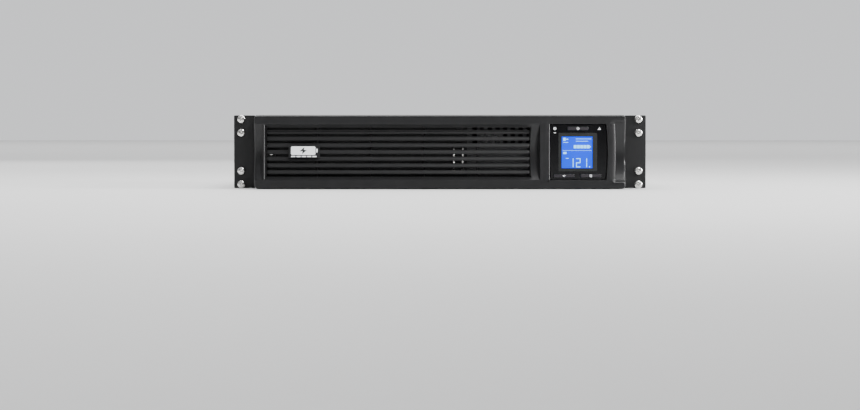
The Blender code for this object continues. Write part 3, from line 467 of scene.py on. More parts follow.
def bezel_lines():
    """The grid's x and z lines: close together where the face turns."""
    grip_left, grip_right = SCOOP_INNER
    near_edge = (*RIM_STEPS, 3.4, 4.2, 5.0, 6.5, 8.5)
    xs = [-HALF + e for e in near_edge] + [HALF - e for e in (*near_edge, 10.0)]
    xs += [grip_left - e for e in (0.9, 0.35)] + [grip_left + SCOOP_ROUND * q for q in ROUND_STEPS]
    xs += [grip_right + e for e in (1.1, 0.45)] + [grip_right - SCOOP_ROUND * q for q in ROUND_STEPS]
    xs += [GRILLE[0] - RIDGE * (1 - q) for q in ROUND_STEPS]
    xs += [-199, -190, -170, -150, -125, -100, -75, -50, -25, 0, 25, 50, 75, 90, 98, 101, 102, 103, 104, 105, 105.9]
    xs += [GRILLE[1] + (BOWL - GRILLE[1]) * (i / 9) for i in range(10)]
    xs += [BOWL + WALL_STRIP * (i / 10) for i in range(1, 11)]
    xs += [117.0, 118, 119.4, 120.6, 122, 123.4, 124.8]
    xs += [WINDOW[0] - SILL * (1 - q) for q in ROUND_STEPS] + [132, 140, 150, 160, 170, 180, 188]
    xs += [WINDOW[1] + SILL_RIGHT * (1 - q) for q in ROUND_STEPS] + [195.2, 196, 197, 198, 199, 200, 201, 201.8]
    low = [*RIM_STEPS, 3.4, 4.2, 5.0, 6.5, 8.0, 9.2, 9.6, LIP, 10.2, 10.4, 10.6, 10.9, 11.3, 12.0, 12.8, 13.5]
    low += [15, 16.5, 18.5, 21, 24, 27.5, 31, 35, 39]
    zs = [*low, MID, *(TOP - z for z in low)]
    return [sorted({round(line, 3) for line in lines}) for lines in (xs, zs)]


def scoop(z):
    """Depth of a finger grip at this height."""
    radius = (BAND**2 + SCOOP_DEEP**2) / (2 * SCOOP_DEEP)
    if abs(z - MID) >= BAND:
        return 0.0
    return math.sqrt(radius**2 - (z - MID) ** 2) - radius + SCOOP_DEEP


def edge_depth(s, radius, deep=FACE_BACK):
    """Depth across the edge of a recess: s runs from outside (negative) to inside."""
    if s <= -radius:
        return 0.0
    return radius * quarter((s + radius) / radius) if s < 0 else deep


def face_depth(x, z):
    """How far the bezel's face lies behind its front plane."""
    height = min(z, TOP - z)  # above the lower edge, mirrored
    depth = 0.0
    # finger grips
    for side, inner in zip((-1, 1), SCOOP_INNER):
        s = (x - inner) * side
        if s > -SCOOP_ROUND:
            deep = scoop(z)
            if s < 0 and deep < SCOOP_ROUND:
                depth = max(depth, deep * quarter((s + SCOOP_ROUND) / SCOOP_ROUND))
            else:
                depth = max(depth, edge_depth(s, SCOOP_ROUND, deep))
    # the right strip turns away towards its grip, and the pillar's face is slightly hollow
    across = smooth((BAND + 3.5 - abs(z - MID)) / 3.5)
    if x > STRIP:
        t = min(x, SCOOP_INNER[1]) - STRIP
        depth += across * (STRIP_ROUND - math.sqrt(STRIP_ROUND**2 - t * t))
    if PILLAR[0] < x < PILLAR[1]:
        depth += across * PILLAR_HOLLOW * ((x - PILLAR_LOW) / PILLAR_HALF) ** 2
    # sunk band round the louvres, and the bowl beside it with its sloping wall
    if GRILLE[0] - RIDGE <= x <= BOWL_END and height >= LIP:
        drop = LIP_DROP * quarter((height - LIP) / 0.7)
        slope = height - LIP - 0.5 if height > LIP + 0.7 else drop
        t = max(0.0, (x - BOWL) / WALL_STRIP)
        bowl = (scoop(z) + drop) * (1 - t**1.4 if t < 0.9 else 1.37 * (1 - t))
        mixed = slope + (bowl - slope) * smooth((x - BLEND) / (GRILLE[1] - BLEND))
        deepest = edge_depth(x - GRILLE[0], RIDGE) if x < -190 else FACE_BACK
        depth = max(depth, min(deepest, mixed))
    # display window: a round edge on the left, tighter elsewhere
    if WINDOW[0] - SILL <= x <= WINDOW[1] + SILL_RIGHT and height > LIP:
        sides = (
            edge_depth(x - WINDOW[0], SILL), edge_depth(WINDOW[1] - x, SILL_RIGHT), edge_depth(height - WINDOW[2], 0.6)
        )
        depth = max(depth, min(*sides, SILL))
    return depth


def rim_depth(d):
    """Depth of the bezel's eased outer edge at this distance in from it: a slope that ends in a small round."""
    return float(np.interp(d, RIM_STEPS, (2.6, 2.0, 1.5, 0.85, 0.12, 0.0)))


def rim_distance(x, z):
    """Distance in from the outer edge of the face, with its rounded corners."""
    a, b = HALF - abs(x), min(z, TOP - z)
    if a >= CORNER or b >= CORNER:
        return min(a, b)
    return CORNER * (1 - max((CORNER - a) / CORNER, (CORNER - b) / CORNER))


def placed(x, z):
    """Bows a grid point sideways, and maps the grid's square corners onto quarter discs."""
    x += float(np.interp(x, WARP_X, WARP)) * max(0.0, 1 - ((z - MID) / BAND) ** 2)
    a = (abs(x) - (HALF - CORNER)) / CORNER
    b = (abs(z - MID) - (MID - CORNER)) / CORNER
    if a <= 0 or b <= 0:
        return x, z
    return (
        math.copysign(HALF - CORNER + CORNER * a * math.sqrt(1 - b * b / 2), x),
        MID + math.copysign(MID - CORNER + CORNER * b * math.sqrt(1 - a * a / 2), z - MID),
    )


def bezel():
    """A shell on a grid: face, rear side and hole walls, then the outer wall, the rear rim and the inner wall."""
    xs, zs = bezel_lines()
    nx, nz = len(xs) - 1, len(zs) - 1
    shape = Shape()
    new, face = shape.bm.verts.new, shape.bm.faces.new

    def is_hole(i, k):
        if not (0 <= i < nx and 0 <= k < nz):
            return False
        x, z = (xs[i] + xs[i + 1]) / 2, (zs[k] + zs[k + 1]) / 2
        return any(a < x < b and c < z < d for a, b, c, d in HOLES)

    outer, inner = {}, {}
    for i, x in enumerate(xs):
        for k, z in enumerate(zs):
            px, pz = placed(x, z)
            rim = rim_distance(x, z)
            depth = face_depth(x, z) + rim_depth(rim)
            outer[i, k] = new((px, FRONT + min(depth, FACE_BACK + 1.0), pz))
            if rim >= FILLET - TINY:
                on_hole = any(a - TINY <= x <= b + TINY and c - TINY <= z <= d + TINY for a, b, c, d in HOLES)
                inner[i, k] = new((px, FRONT + (FACE_BACK if on_hole else max(FACE_BACK, depth + SKIN)), pz))
    for i in range(nx):
        for k in range(nz):
            if is_hole(i, k):
                continue
            ring = [(i, k), (i + 1, k), (i + 1, k + 1), (i, k + 1)]
            face([outer[c] for c in ring])
            if all(c in inner for c in ring):
                face([inner[c] for c in reversed(ring)])
            for a, b, beside in zip(ring, ring[1:] + ring[:1], ((i, k - 1), (i + 1, k), (i, k + 1), (i - 1, k))):
                if is_hole(*beside):
                    face([outer[b], outer[a], inner[a], inner[b]])

    def loop(i0, k0):
        """Grid points round a rectangle that starts this far in."""
        i1, k1 = nx - i0, nz - k0
        found = [(i, k0) for i in range(i0, i1)] + [(i1, k) for k in range(k0, k1)]
        return found + [(i, k1) for i in range(i1, i0, -1)] + [(i0, k) for k in range(k1, k0, -1)]

    def wall(near, far):
        for n in range(len(near)):
            m = (n + 1) % len(near)
            face([near[m], near[n], far[n], far[m]])

    chain = [[outer[c] for c in loop(0, 0)]]
    for depth, inset in ((BEZEL_BACK - 0.5, 0.0), (BEZEL_BACK - 0.12, 0.14), (BEZEL_BACK, 0.5)):
        across, up = 1 - inset / HALF, 1 - inset / MID
        chain.append([new((v.co.x * across, FRONT + depth, MID + (v.co.z - MID) * up)) for v in chain[0]])
    for near, far in zip(chain, chain[1:]):
        wall(near, far)
    first_x, first_z = (
        next(n for n, line in enumerate(lines) if line >= lines[0] + FILLET - TINY) for lines in (xs, zs)
    )
    core = [inner[c] for c in loop(first_x, first_z)]
    wall([new((v.co.x, FRONT + BEZEL_BACK, v.co.z)) for v in core], core)
    # the rear rim joins two loops with different numbers of points
    back = FRONT + BEZEL_BACK
    open_edges = [e for e in shape.bm.edges if len(e.link_faces) == 1]
    bmesh.ops.bridge_loops(
        shape.bm, edges=[e for e in open_edges if all(abs(v.co.y - back) < 1e-3 for v in e.verts)]
    )
    # clips that hold the bezel on the case, and stiffening ribs
    clip_end = node_box("bezel_frame")[1].y
    for z0, z1, hook, places in ((81.2, 83.6, (81.8, 84.8), (-150, 60, 190)), (2.4, 4.8, (1.8, 4.2), (-203, 60, 190))):
        for x in places:
            shape.box((x - 7, FRONT + 20, z0), (x + 7, clip_end - 0.1, z1), 0.5)
            shape.box((x - 3, clip_end - 3.5, hook[0]), (x + 3, clip_end - 1.5, hook[1]), 0.3)
    for x in (-206, -95, 18, 114.5, 199):
        for z in (3, 74):
            shape.box((x - 0.9, FRONT + 11.5, z), (x + 0.9, FRONT + 24, z + 9), 0.3)
    shape.piece("bezel_moulding", PLASTIC, "bezel_plastic", "bezel_frame", body="bezel", angle=38)


def louvres():
    """Sloping slats with rounded lips, the border they are moulded in, and the ribs behind them."""
    shape = Shape()
    left, right = GRILLE[0] + 2.0, GRILLE[1] - 2.6
    levels = [MID + 7.8 * (i - 3) for i in range(7)]
    # section of a slat, as (y, z) from its middle: a round lip, a shelf behind it, and a face leaning back
    low, high = Vector((-3.1, -1.95)), Vector((-1.1, 1.95))
    profile = [(-1.1 + 0.65 * math.sin(a), 1.95 + 0.6 * (math.cos(a) - 0.45)) for a in (-1.1, -0.7, -0.3, 0.1)]
    profile += [(3.2, 2.2), (3.5, 1.95), (3.5, 1.5), (3.2, 1.25), (0.7, 1.15), (0.2, 0.8), (-1.3, -1.8)]
    profile += [(-2.15 + 0.9 * math.cos(a), -2.0 + 0.6 * math.sin(a)) for a in (-0.4, -0.9, -1.5, -2.1, -2.6, -3.0)]
    profile += [tuple(low)]
    bulge = 0.32
    for q in (0.15, 0.32, 0.5, 0.68, 0.85):
        profile.append(tuple(low.lerp(high, q) - Vector((bulge * math.sin(math.pi * q), 0))))
    ends = ((left, 0.80), (left + 0.18, 0.94), (left + 0.6, 1.0))
    ends += ((right - 0.6, 1.0), (right - 0.18, 0.94), (right, 0.80))
    for z in levels:
        y = FRONT + 9.4
        shape.loft([[(x, y + a * (size if a < 0 else 1), z + b * size) for a, b in profile] for x, size in ends])
    low, high = node_box("louvre_grille")
    hole = rounded(GRILLE[0] + 1.2, 14.6, GRILLE[1] - 1.6, 71.4, 0.4, 2)
    shape.plate(rounded(low.x, low.z, high.x, high.z, 2.0), [hole], FRONT + 9.3, FRONT + 12.8, 0.3)
    rib = [(-0.9, 13.8), (0.9, 13.8), (0.7, 12.8), (0.12, 10.6), (-0.12, 10.6), (-0.7, 12.8)]  # narrow at the front
    for x in (-202.4, *(-142.6 + 62 * i for i in range(4)), 104.6):
        shape.loft([[(x + a, FRONT + b, z) for a, b in rib] for z in (13.4, 72.6)])
    for x in (left - 1.2, right + 1.2):  # short pegs carry the slats' ends
        for z in levels:
            shape.box((x - 1.6, FRONT + 10.4, z - 0.2), (x + 1.6, FRONT + 12.4, z + 2.2), 0.3)
    shape.piece("louvre_insert", SLAT, "bezel_plastic", "louvre_grille", body="bezel")


def badge():
    """Plain plate with a generic battery sign over a row of bars."""
    low, high = node_box("badge")
    x, z = node_middle("badge")
    plate = Shape().plate(rounded(low.x + 0.5, low.z, high.x - 0.5, high.z, 2.0), [], low.y + 0.15, high.y, 0.35)
    plate.box((x - 9, high.y - 0.2, z - 2.5), (x + 9, high.y + 3.6, z + 3), 0.4)
    plate.piece("badge_plate", SLAT, "badge_black", "badge", body="bezel")
    bolt = [(0.6, 4.4), (-5.2, -0.8), (-1.7, -0.8), (-2.6, -4.4), (3.2, 0.8), (-0.3, 0.8)]
    marks = [(rounded(-15.2, -4.9, 13.2, 4.9, 1.6), [bolt], 0.08), (rounded(14.0, -2.2, 15.8, 2.2, 0.7), [], 0.08)]
    for start in (-15.2 + i * 6.2 for i in range(5)):
        marks.append((rounded(start, -7.4, start + 5.0, -6.1, 0.4), [], 0.06))
    sign = Shape()
    for outline, gaps, edge in marks:
        outline, *gaps = (shifted(points, x, z + 1.0) for points in (outline, *gaps))
        sign.plate(outline, gaps, low.y - 0.12, low.y + 0.3, edge)
    sign.piece("badge_sign", PAINTED_GLOW_PRINT, "badge_black", body="bezel")


# ---------------------------------------------------------------- display
PANEL_X, PANEL_Z = 160.3, 43.0
BUTTONS = {"power_button": (0.0, 27.2), "mute_button": (-16.2, -27.8), "menu_button": (15.0, -27.8)}
LAMPS = {"online_light_pipe": (-26.8, 27.2), "fault_light_pipe": (24.9, 27.2)}
LCD = (-18.8, -18.8, 16.8, 17.8)
SPEAKER = [(-1.5, -0.5), (-0.7, -0.5), (0.4, -1.4), (0.4, 1.4), (-0.7, 0.5), (-1.5, 0.5)]
DIGITS_Z = 25.2


def at_panel(points):
    return shifted(points, PANEL_X, PANEL_Z)


def grown(box, by, radius, count=3):
    """Rounded rectangle this much larger than a box on every side."""
    return rounded(box[0] - by, box[1] - by, box[2] + by, box[3] + by, radius, count)


def bowed(half_w, half_h, bulge, radius=0.8, count=14):
    """Outline with small round corners on the left and a bulging right side."""
    corners = rounded(-half_w, -half_h, 0, half_h, (radius, 0, 0, radius), 3)
    left = [p for p in corners if p[0] < -half_w + radius + TINY]
    steps = [2 * i / (count - 1) - 1 for i in range(count)]
    right = [(half_w + bulge * (1 - t * t), half_h * t * 0.99) for t in steps]
    return [*left[:4], (half_w - 0.5, -half_h), *right, (half_w - 0.5, half_h), *left[4:]]


def power_sign():
    gap = math.radians(35)
    angles = [gap + (TURN - 2 * gap) * i / 20 for i in range(21)]
    arcs = [[(r * math.sin(a), r * math.cos(a)) for a in angles] for r in (1.5, 0.95)]
    return [([*arcs[0], *reversed(arcs[1])], []), (rounded(-0.28, 0.1, 0.28, 1.75, 0.2, 3), [])]


def centred(half_x, half_z, radius, count, z=0.0):
    return around((0, z), half_x, half_z, radius, count)


BUTTON_SIGNS = {
    "power_button": power_sign(),
    "mute_button": [(SPEAKER, []), (shifted(centred(0.9, 0.15, 0.1, 2), 1.45, 0, math.pi / 4), [])],
    "menu_button": [(centred(1.3, 1.3, 0.3, 3), [centred(0.75, 0.18, 0.1, 2, z) for z in (-0.6, 0.0, 0.6)])],
}


def digit(x, z, lit, width=5.2, height=10.5, thick=0.95):
    """The lit bars of a seven bar digit: lettered from the top clockwise, with the middle last."""
    half, gap = height / 2, 0.15
    x0, x1, z0, z1 = x + gap, x + width - gap, z + gap, z + height - gap
    bars = {
        "a": (x0, z + height - thick, x1, z + height),
        "b": (x + width - thick, z + half + gap, x + width, z1),
        "c": (x + width - thick, z0, x + width, z + half - gap),
        "d": (x0, z, x1, z + thick),
        "e": (x, z0, x + thick, z + half - gap),
        "g": (x0, z + half - thick / 2, x1, z + half + thick / 2),
    }
    return [bars[name] for name in lit]


def screen_bars():
    bars = [*digit(151.4, DIGITS_Z, "bc", 3.8), *digit(158.1, DIGITS_Z, "abged"), *digit(167.1, DIGITS_Z, "bc", 3.8)]
    bars += [(173.3, DIGITS_Z, 174.4, DIGITS_Z + 1.1), (142.4, 44.5, 176.2, 44.8)]  # point and dividing line
    bars += [(155.4 + 3.8 * i, 47.2, 158.7 + 3.8 * i, 51.0) for i in range(5)] + [(174.5, 48.3, 175.2, 49.9)]  # gauge
    bars += [(157.8, 57.9, 176.0, 58.4), (157.8, 55.2, 172.3, 55.7), (143.2, 56.0, 146.0, 59.4)]
    bars += [(146.6, 57.2, 149.0, 58.3), (143.2, 53.8, 149.0, 54.4), (143.2, 40.6, 147.0, 43.0)]
    return [*bars, (146.2, 35.2, 149.6, 35.9)]


def display():
    face = node_box("display_fascia")[0].y
    holes = [grown(LCD, 0.25, 0.5)] + [around(at, 12.3, 2.3, 1.0, 4) for at in BUTTONS.values()]
    holes += [circle(x, z, 2.45, 28) for x, z in LAMPS.values()]
    panel = Shape().plate(at_panel(bowed(31.85, 31.95, 1.9)), [at_panel(h) for h in holes], face, face + 2.0, 0.25)
    panel.piece("fascia", PANEL, "gloss_black", "display_fascia", angle=18)
    # matt surround that the screen is bonded in
    outline, opening = at_panel(rounded(-22.6, -22.4, 22.2, 22.2, 1.2)), at_panel(grown(LCD, 0.1, 0.4))
    ring = Shape().plate(outline, [opening], face - 0.12, face + 0.6, 0.1)
    ring.piece("screen_surround", PANEL_MATT, "gloss_black")
    back = node_box("lcd_screen")[1].y
    low, high = (PANEL_X + LCD[0], face + 0.35, PANEL_Z + LCD[1]), (PANEL_X + LCD[2], back, PANEL_Z + LCD[3])
    Shape().box(low, high, 0.15).piece("screen", SCREEN, "lcd_blue", "lcd_screen")
    ink = Shape()
    for x0, z0, x1, z1 in screen_bars():
        outline = rounded(x0, z0, x1, z1, min(0.12, (z1 - z0) / 3, (x1 - x0) / 3), 2)
        ink.plate(outline, [], face + 0.28, face + 0.28 + 0.15)
    ink.piece("screen_segments", INK, "lcd_blue")

    for name, (x, z) in BUTTONS.items():
        low, high = node_box(name)
        x, z = PANEL_X + x, PANEL_Z + z
        cap = Shape().plate(rounded(low.x, low.z, high.x, high.z, 0.9, 5), [], low.y, low.y + 2.2, 0.45, 3)
        cap.block(x, z, 4, 1.3, low.y + 2, high.y, 0.2)
        cap.piece(f"{name}_cap", CAP, "button_plastic", name, body=name)
        sign = Shape()
        for outline, gaps in BUTTON_SIGNS[name]:
            sign.plate(shifted(outline, x, z), [shifted(g, x, z) for g in gaps], low.y - 0.05, low.y + 0.1)
        sign.piece(f"{name}_sign", PAINTED_GLOW_PRINT, "button_plastic", body=name)
    for name, (x, z) in LAMPS.items():
        low, high = node_box(name)
        profile = [(0, low.y + 0.25), (1.7, low.y + 0.25), (2.05, low.y + 0.45), (2.1, low.y + 1.0)]
        profile += [(2.1, high.y), (0, high.y)]
        lamp = Shape().lathe(profile, (PANEL_X + x, 0, PANEL_Z + z), steps=28)
        lamp.piece(f"{name}_lens", PANEL, "clear_plastic", name)
    (x, z), (fault_x, fault_z) = at_panel(LAMPS.values())
    lamp_face = node_box("online_light_pipe")[0].y + 0.2
    triangle = shifted([(-1.9, -1.45), (1.9, -1.45), (0, 1.9)], fault_x, fault_z)
    slot = shifted([(-0.3, -0.3), (0.3, -0.3), (0.3, 0.9), (-0.3, 0.9)], fault_x, fault_z)
    sign = Shape()
    for outline, gaps, y0, y1 in (
        (circle(x, z, 1.75, 28), [circle(x, z, 1.0, 20)], lamp_face, lamp_face + 0.15),
        (circle(x, z, 0.5, 12), [], lamp_face, lamp_face + 0.15),
        (rounded(x - 1.3, z - 5.3, x + 1.3, z - 4.5, 0.2), [], face - 0.06, face + 0.1),
        (triangle, [slot], lamp_face, lamp_face + 0.15),
    ):
        sign.plate(outline, gaps, y0, y1)
    sign.piece("panel_signs", PAINTED_GLOW_PRINT, "gloss_black")


# ---------------------------------------------------------------- ears and rack screws
HOLE_ROWS = (4.9, 20.775, 65.225, 81.1)  # heights of the rack's holes over two units
HOLE_X = 232.55
EAR_LEG = 218.2  # x of the outer face of an ear's leg


def ears():
    for side, name in ((-1, "rack_ear_left"), (1, "rack_ear_right")):
        low, high = node_box(name)
        slots = [around((side * HOLE_X, z), 4.2, 3.3, 3.29, 8) for z in HOLE_ROWS]
        flange = Shape().plate(rounded(low.x, low.z, high.x, high.z, 1.2), slots, low.y, low.y + 2.0, 0.3)
        inside = high.x if side < 0 else low.x
        leg0, leg1 = sorted((inside, inside + side * 2.0))
        flange.box((leg0, low.y + 0.6, 10), (leg1, high.y, 76), 0.35)
        seat = side * EAR_LEG
        rivet = [(0, seat + side * 0.9), (1.8, seat + side * 0.9), (2.9, seat + side * 0.4), (3.1, seat), (0, seat)]
        for y in (low.y + 22, low.y + 44):
            for z in (24, 62):
                flange.lathe(rivet, (0, y, z), "X", 20)
        flange.piece(f"{name}_bracket", POWDER, "black_paint", name)


def phillips(radius, height, recess, slot, steps=24):
    """Pan head facing -Y with its rim at y 0, with a tapered cross cut in it."""
    dome = [(0, 0.35), (radius, 0.35)]
    for reach, rise in ((1, 0.42), (0.965, 0.62), (0.86, 0.80), (0.66, 0.93), (0.40, 0.99)):
        dome.append((radius * reach, -height * rise))
    head = Shape().lathe([*dome, (0, -height)], (0, 0, 0), steps=steps)
    above, floor = -height - 0.4, -height + recess
    for turn in (0.0, math.pi / 2):
        rings = []
        for y, reach, half in ((above, radius * 0.56 * 1.06, slot), (floor, radius * 0.20, slot * 0.72)):
            arm = ((-reach, y, -half), (reach, y, -half), (reach, y, half), (-reach, y, half))
            rings.append([Matrix.Rotation(turn, 3, "Y") @ Vector(p) for p in arm])
        head.solve(Shape().loft(rings))
    core = [(0, floor + 0.25), (radius * 0.17, floor), (radius * 0.30, above), (0, above)]
    return head.solve(Shape().lathe(core, (0, 0, 0), steps=12))


def quarter_spin(turns):
    return Matrix.Rotation(turns.uniform(0, math.pi / 2), 4, "Y")


def rack_screws():
    head_height, core, crest, pitch = 3.3, 2.05, 2.4, 0.8
    head = phillips(4.72, head_height, 2.5, 0.72, 36)
    turns = random.Random(4)
    for number in range(1, 9):
        node = f"rack_screw_{number}"
        low, high = node_box(node)
        x, z = node_middle(node)
        seat = low.y + head_height
        screw = Shape().mesh(head, Matrix.Translation((x, seat, z)) @ quarter_spin(turns))
        shank = [(0, seat + 0.2), (crest, seat + 0.2)]
        y = seat + 1.0
        while y < high.y - 2.0:
            shank += [(crest, y), (core, y + pitch / 2), (crest, y + pitch)]
            y += pitch
        screw.lathe([*shank, (1.6, high.y - 0.4), (0, high.y)], (x, 0, z), steps=20)
        screw.piece(f"{node}_pan_head", NICKEL, "nickel", node)


# ---------------------------------------------------------------- case
CASE_FRONT, CASE_BACK = (corner.y for corner in node_box("chassis_base"))
SHEET = 1.2
CASE_SCREW = phillips(2.9, 1.7, 1.1, 0.42)


def screws(name, head, places):
    """Copies of one head, each at (x, y, z) and facing one way, as one piece."""
    turns = random.Random(name)
    row = Shape()
    for at, way in places:
        row.mesh(head, Matrix.Translation(at) @ FACING[way] @ quarter_spin(turns))
    row.piece(name, NICKEL, "nickel")


def bent(profile, y0, y1):
    """Sheet section as (x, z) points pushed from y0 to y1."""
    return Shape().loft([[(x, y, z) for x, z in profile] for y in (y0, y0 + 0.3, y1 - 0.3, y1)])


def chassis():
    top = node_box("chassis_base")[1].z
    bend = 2.2
    left, right = -HALF + bend, HALF - bend
    section = [(-HALF, top), *arc(left, bend, bend, 180, 270), *arc(right, bend, bend, 270, 360), (HALF, top)]
    section += [(HALF - SHEET, top), *arc(right, bend, bend - SHEET, 0, -90)]
    section += [*arc(left, bend, bend - SHEET, -90, -180), (-HALF + SHEET, top)]
    shell = bent(section, CASE_FRONT, CASE_BACK)
    vents = [rounded(y, 26, y + 3, 60, 1.45, 5) for y in (60 + 8 * i for i in range(12))]
    vents += [circle(y, 43, 2.2, 16) for y in (-30, 20)]
    cutter = Shape()
    for x in (-HALF, HALF):
        for outline in vents:
            cutter.plate(outline, [], -x - 3, -x + 3, 0, 1, FACING["right"])
    shell.solve(cutter)
    shell.piece("chassis_shell", POWDER, "black_paint", "chassis_base")
    studs = Shape()
    for x in (32, 200):
        for y in (-130, 130):
            studs.lathe([(0, 0.9), (3.0, 0.9), (3.0, 7.3), (2.7, 7.6), (0, 7.6)], (x, y, 0), "Z", 6)
    studs.piece("board_studs", ZINC, "zinc")
    places = []
    for side, way in ((-1, "left"), (1, "right")):
        places += [((side * HALF, y, 79.6), way) for y in (-88, 20, 118, 186)]
        places += [((side * HALF, y, 8.5), way) for y in (-60, 186)]
        places += [((side * (EAR_LEG + 0.1), CASE_FRONT + y, z), way) for y in (22, 46) for z in (24, 62)]
    screws("side_screws", CASE_SCREW, places)


def cover():
    low, high = node_box("top_cover")
    edge, top = 0.9, high.z
    section = [(low.x, top - SHEET), *arc(low.x + edge, top - edge, edge, 180, 90, 6)]
    section += [*arc(high.x - edge, top - edge, edge, 90, 0, 6), (high.x, top - SHEET)]
    lid = bent(section, low.y, high.y)
    cuts = Shape()
    sunk = [(0, top - 1.6), (2.0, top - 1.6), (2.1, top - 1.15), (3.6, top + 0.05), (3.6, top + 1), (0, top + 1)]
    places = [(x, y) for x in (-206, 206) for y in (-160, -40, 75, 184)] + [(-70, 187), (70, 187)]
    for x, y in places:
        cuts.lathe(sunk, (x, y, 0), "Z", 24)
    for x in (-138, -46, 46, 138):  # pressed grooves that stiffen the sheet
        wide, deep = rounded(x - 5.6, -135, x + 5.6, 150, 5.5, 8), rounded(x - 4.6, -134, x + 4.6, 149, 4.5, 8)
        cuts.loft([[(a, b, z) for a, b in outline] for outline, z in ((deep, top - 0.8), (wide, top), (wide, top + 1))])
    lid.solve(cuts)
    for side in (-1, 1):
        x0, x1 = sorted((side * (HALF - SHEET - 0.3), side * (HALF - 2 * SHEET - 0.3)))
        lid.box((x0, low.y + 3, low.z), (x1, high.y - 2, top - 0.8), 0.2)
    lid.piece("cover_sheet", POWDER, "black_paint", "top_cover", angle=20)
    screws("cover_screws", phillips(2.9, 1.1, 0.8, 0.42), [((x, y, top - 1.2), "top") for x, y in places])


# ---------------------------------------------------------------- rear
BANK_X, BANKS_Z = 62.0, (24.5, 61.5)
REAR_VENTS = [around((125 + 7.5 * i, z), 1.5, 13, 1.45, 5) for i in range(7) for z in BANKS_Z]
FAN_AT = (-158.0, 43.0)
INLET_AT, BREAKER_AT, GROUND_AT = (-72.0, 25.0), (-72.0, 62.0), (-30.0, 20.0)
USB_AT, SERIAL_AT = (192.0, 57.0), (192.0, 29.0)
CORNERS = [(a, b) for a in (-35.75, 35.75) for b in (-35.75, 35.75)]


def rear_panel():
    low, high = node_box("rear_panel")
    holes = [circle(*FAN_AT, 37.8, 56), circle(*BREAKER_AT, 6.2, 28), circle(*GROUND_AT, 2.5, 16)]
    holes += [around(INLET_AT, 14, 10.5), *(around((BANK_X, z), 51.5, 14.5) for z in BANKS_Z), *REAR_VENTS]
    holes += [around(USB_AT, 6.4, 5.9, 0.4), around(SERIAL_AT, 8.6, 7.2, 0.4)]
    panel = Shape().plate(rounded(low.x, low.z, high.x, high.z, 1.5), holes, low.y, high.y, 0.22)
    panel.piece("rear_plate", POWDER, "black_paint", "rear_panel")
    places = [(x, z) for x in (-209, -104, -14, 119, 209) for z in (81.4, 4.6)] + [(-209, 43), (209, 43)]
    screws("rear_screws", CASE_SCREW, [((x, high.y, z), "rear") for x, z in places])


def outlets():
    for name, z in zip(("outlet_bank_lower", "outlet_bank_upper"), BANKS_Z):
        low, high = node_box(name)
        bank, contacts = Shape(), Shape()
        sockets = []
        for x in (BANK_X - 35.0, BANK_X, BANK_X + 35.0):
            ground_hole = [(x - 2.5, z - 6.2), *arc(x, z - 7.5, 2.6, 180, 360, 8), (x + 2.5, z - 6.2)]
            wide = rounded(x - 7.25, z - 1, x - 5.45, z + 8, 0.2, 2)
            narrow = rounded(x + 5.45, z, x + 7.25, z + 7, 0.2, 2)
            sockets.append((x, [wide, narrow, ground_hole]))
        openings = [outline for _, outlines in sockets for outline in outlines]
        bank.plate(around((BANK_X, z), 53, 16, 2.5, 5), openings, high.y - 3.6, high.y, 0.35)
        bank.block(BANK_X, z, 50.8, 13.8, low.y, high.y - 3.4, 0.8)
        inside, outside = high.y - 3.5, high.y - 1.5
        for x, outlines in sockets:
            bank.plate(around((x, z - 0.4), 14.6, 13.4, 6.5, 8), outlines, high.y - 0.6, high.y + 1.1, 0.45, 3)
            for slot_x, half in ((x - 6.35, 3.6), (x + 6.35, 2.8)):
                for leaf in (slot_x - 0.62, slot_x + 0.62):
                    contacts.block(leaf, z + 3.5, 0.14, half, inside, high.y - 1.4, 0.05)
            sleeve = [(1.9, inside), (1.9, outside), (2.2, outside), (2.2, inside)]
            contacts.lathe(sleeve, (x, 0, z - 7.5), steps=16, loop=True)
        bank.piece(f"{name}_body", RESIN, "black_plastic", name)
        contacts.piece(f"{name}_contacts", BRASS, "black_plastic")


def inlet():
    low, high = node_box("power_inlet")
    x, z = INLET_AT
    recess = [(-12, -8.3), (12, -8.3), (12, 3.8), (7.5, 8.3), (-7.5, 8.3), (-12, 3.8)]
    flange = [(-24, -7.5), (-17.5, -14), (17.5, -14), (24, -7.5), (24, 7.5), (17.5, 14), (-17.5, 14), (-24, 7.5)]
    hole, screws_x = shifted(recess, x, z), (x - 19.6, x + 19.6)
    sockets = [circle(at, z, 1.9, 20) for at in screws_x]
    holder = Shape().plate(shifted(flange, x, z), [hole, *sockets], high.y - 2.5, high.y, 0.35)
    holder.plate(shifted(recess, x, z, scale=1.12), [hole], high.y - 2.3, high.y + 0.9, 0.3)
    holder.plate(around(INLET_AT, 13.4, 9.9), [hole], low.y + 6, high.y - 2)
    holder.block(x, z, 13.4, 9.9, low.y, low.y + 6.2, 0.3)
    holder.piece("inlet_housing", RESIN, "black_plastic", "power_inlet")
    pins = Shape()
    for px, pz in ((-7, -1.2), (7, -1.2), (0, 2.8)):
        section = [(-1, -2), (1, -2), (1, 2), (-1, 2)]
        stations = ((low.y + 6, 1), (194.2, 1), (195, 0.72))
        pins.loft([[(x + px + a * w, y, z + pz + b * w) for a, b in section] for y, w in stations])
    pins.piece("inlet_pins", NICKEL, "nickel")
    screws("inlet_screws", phillips(3.0, 1.2, 0.8, 0.40), [((at, high.y - 0.1, z), "rear") for at in screws_x])


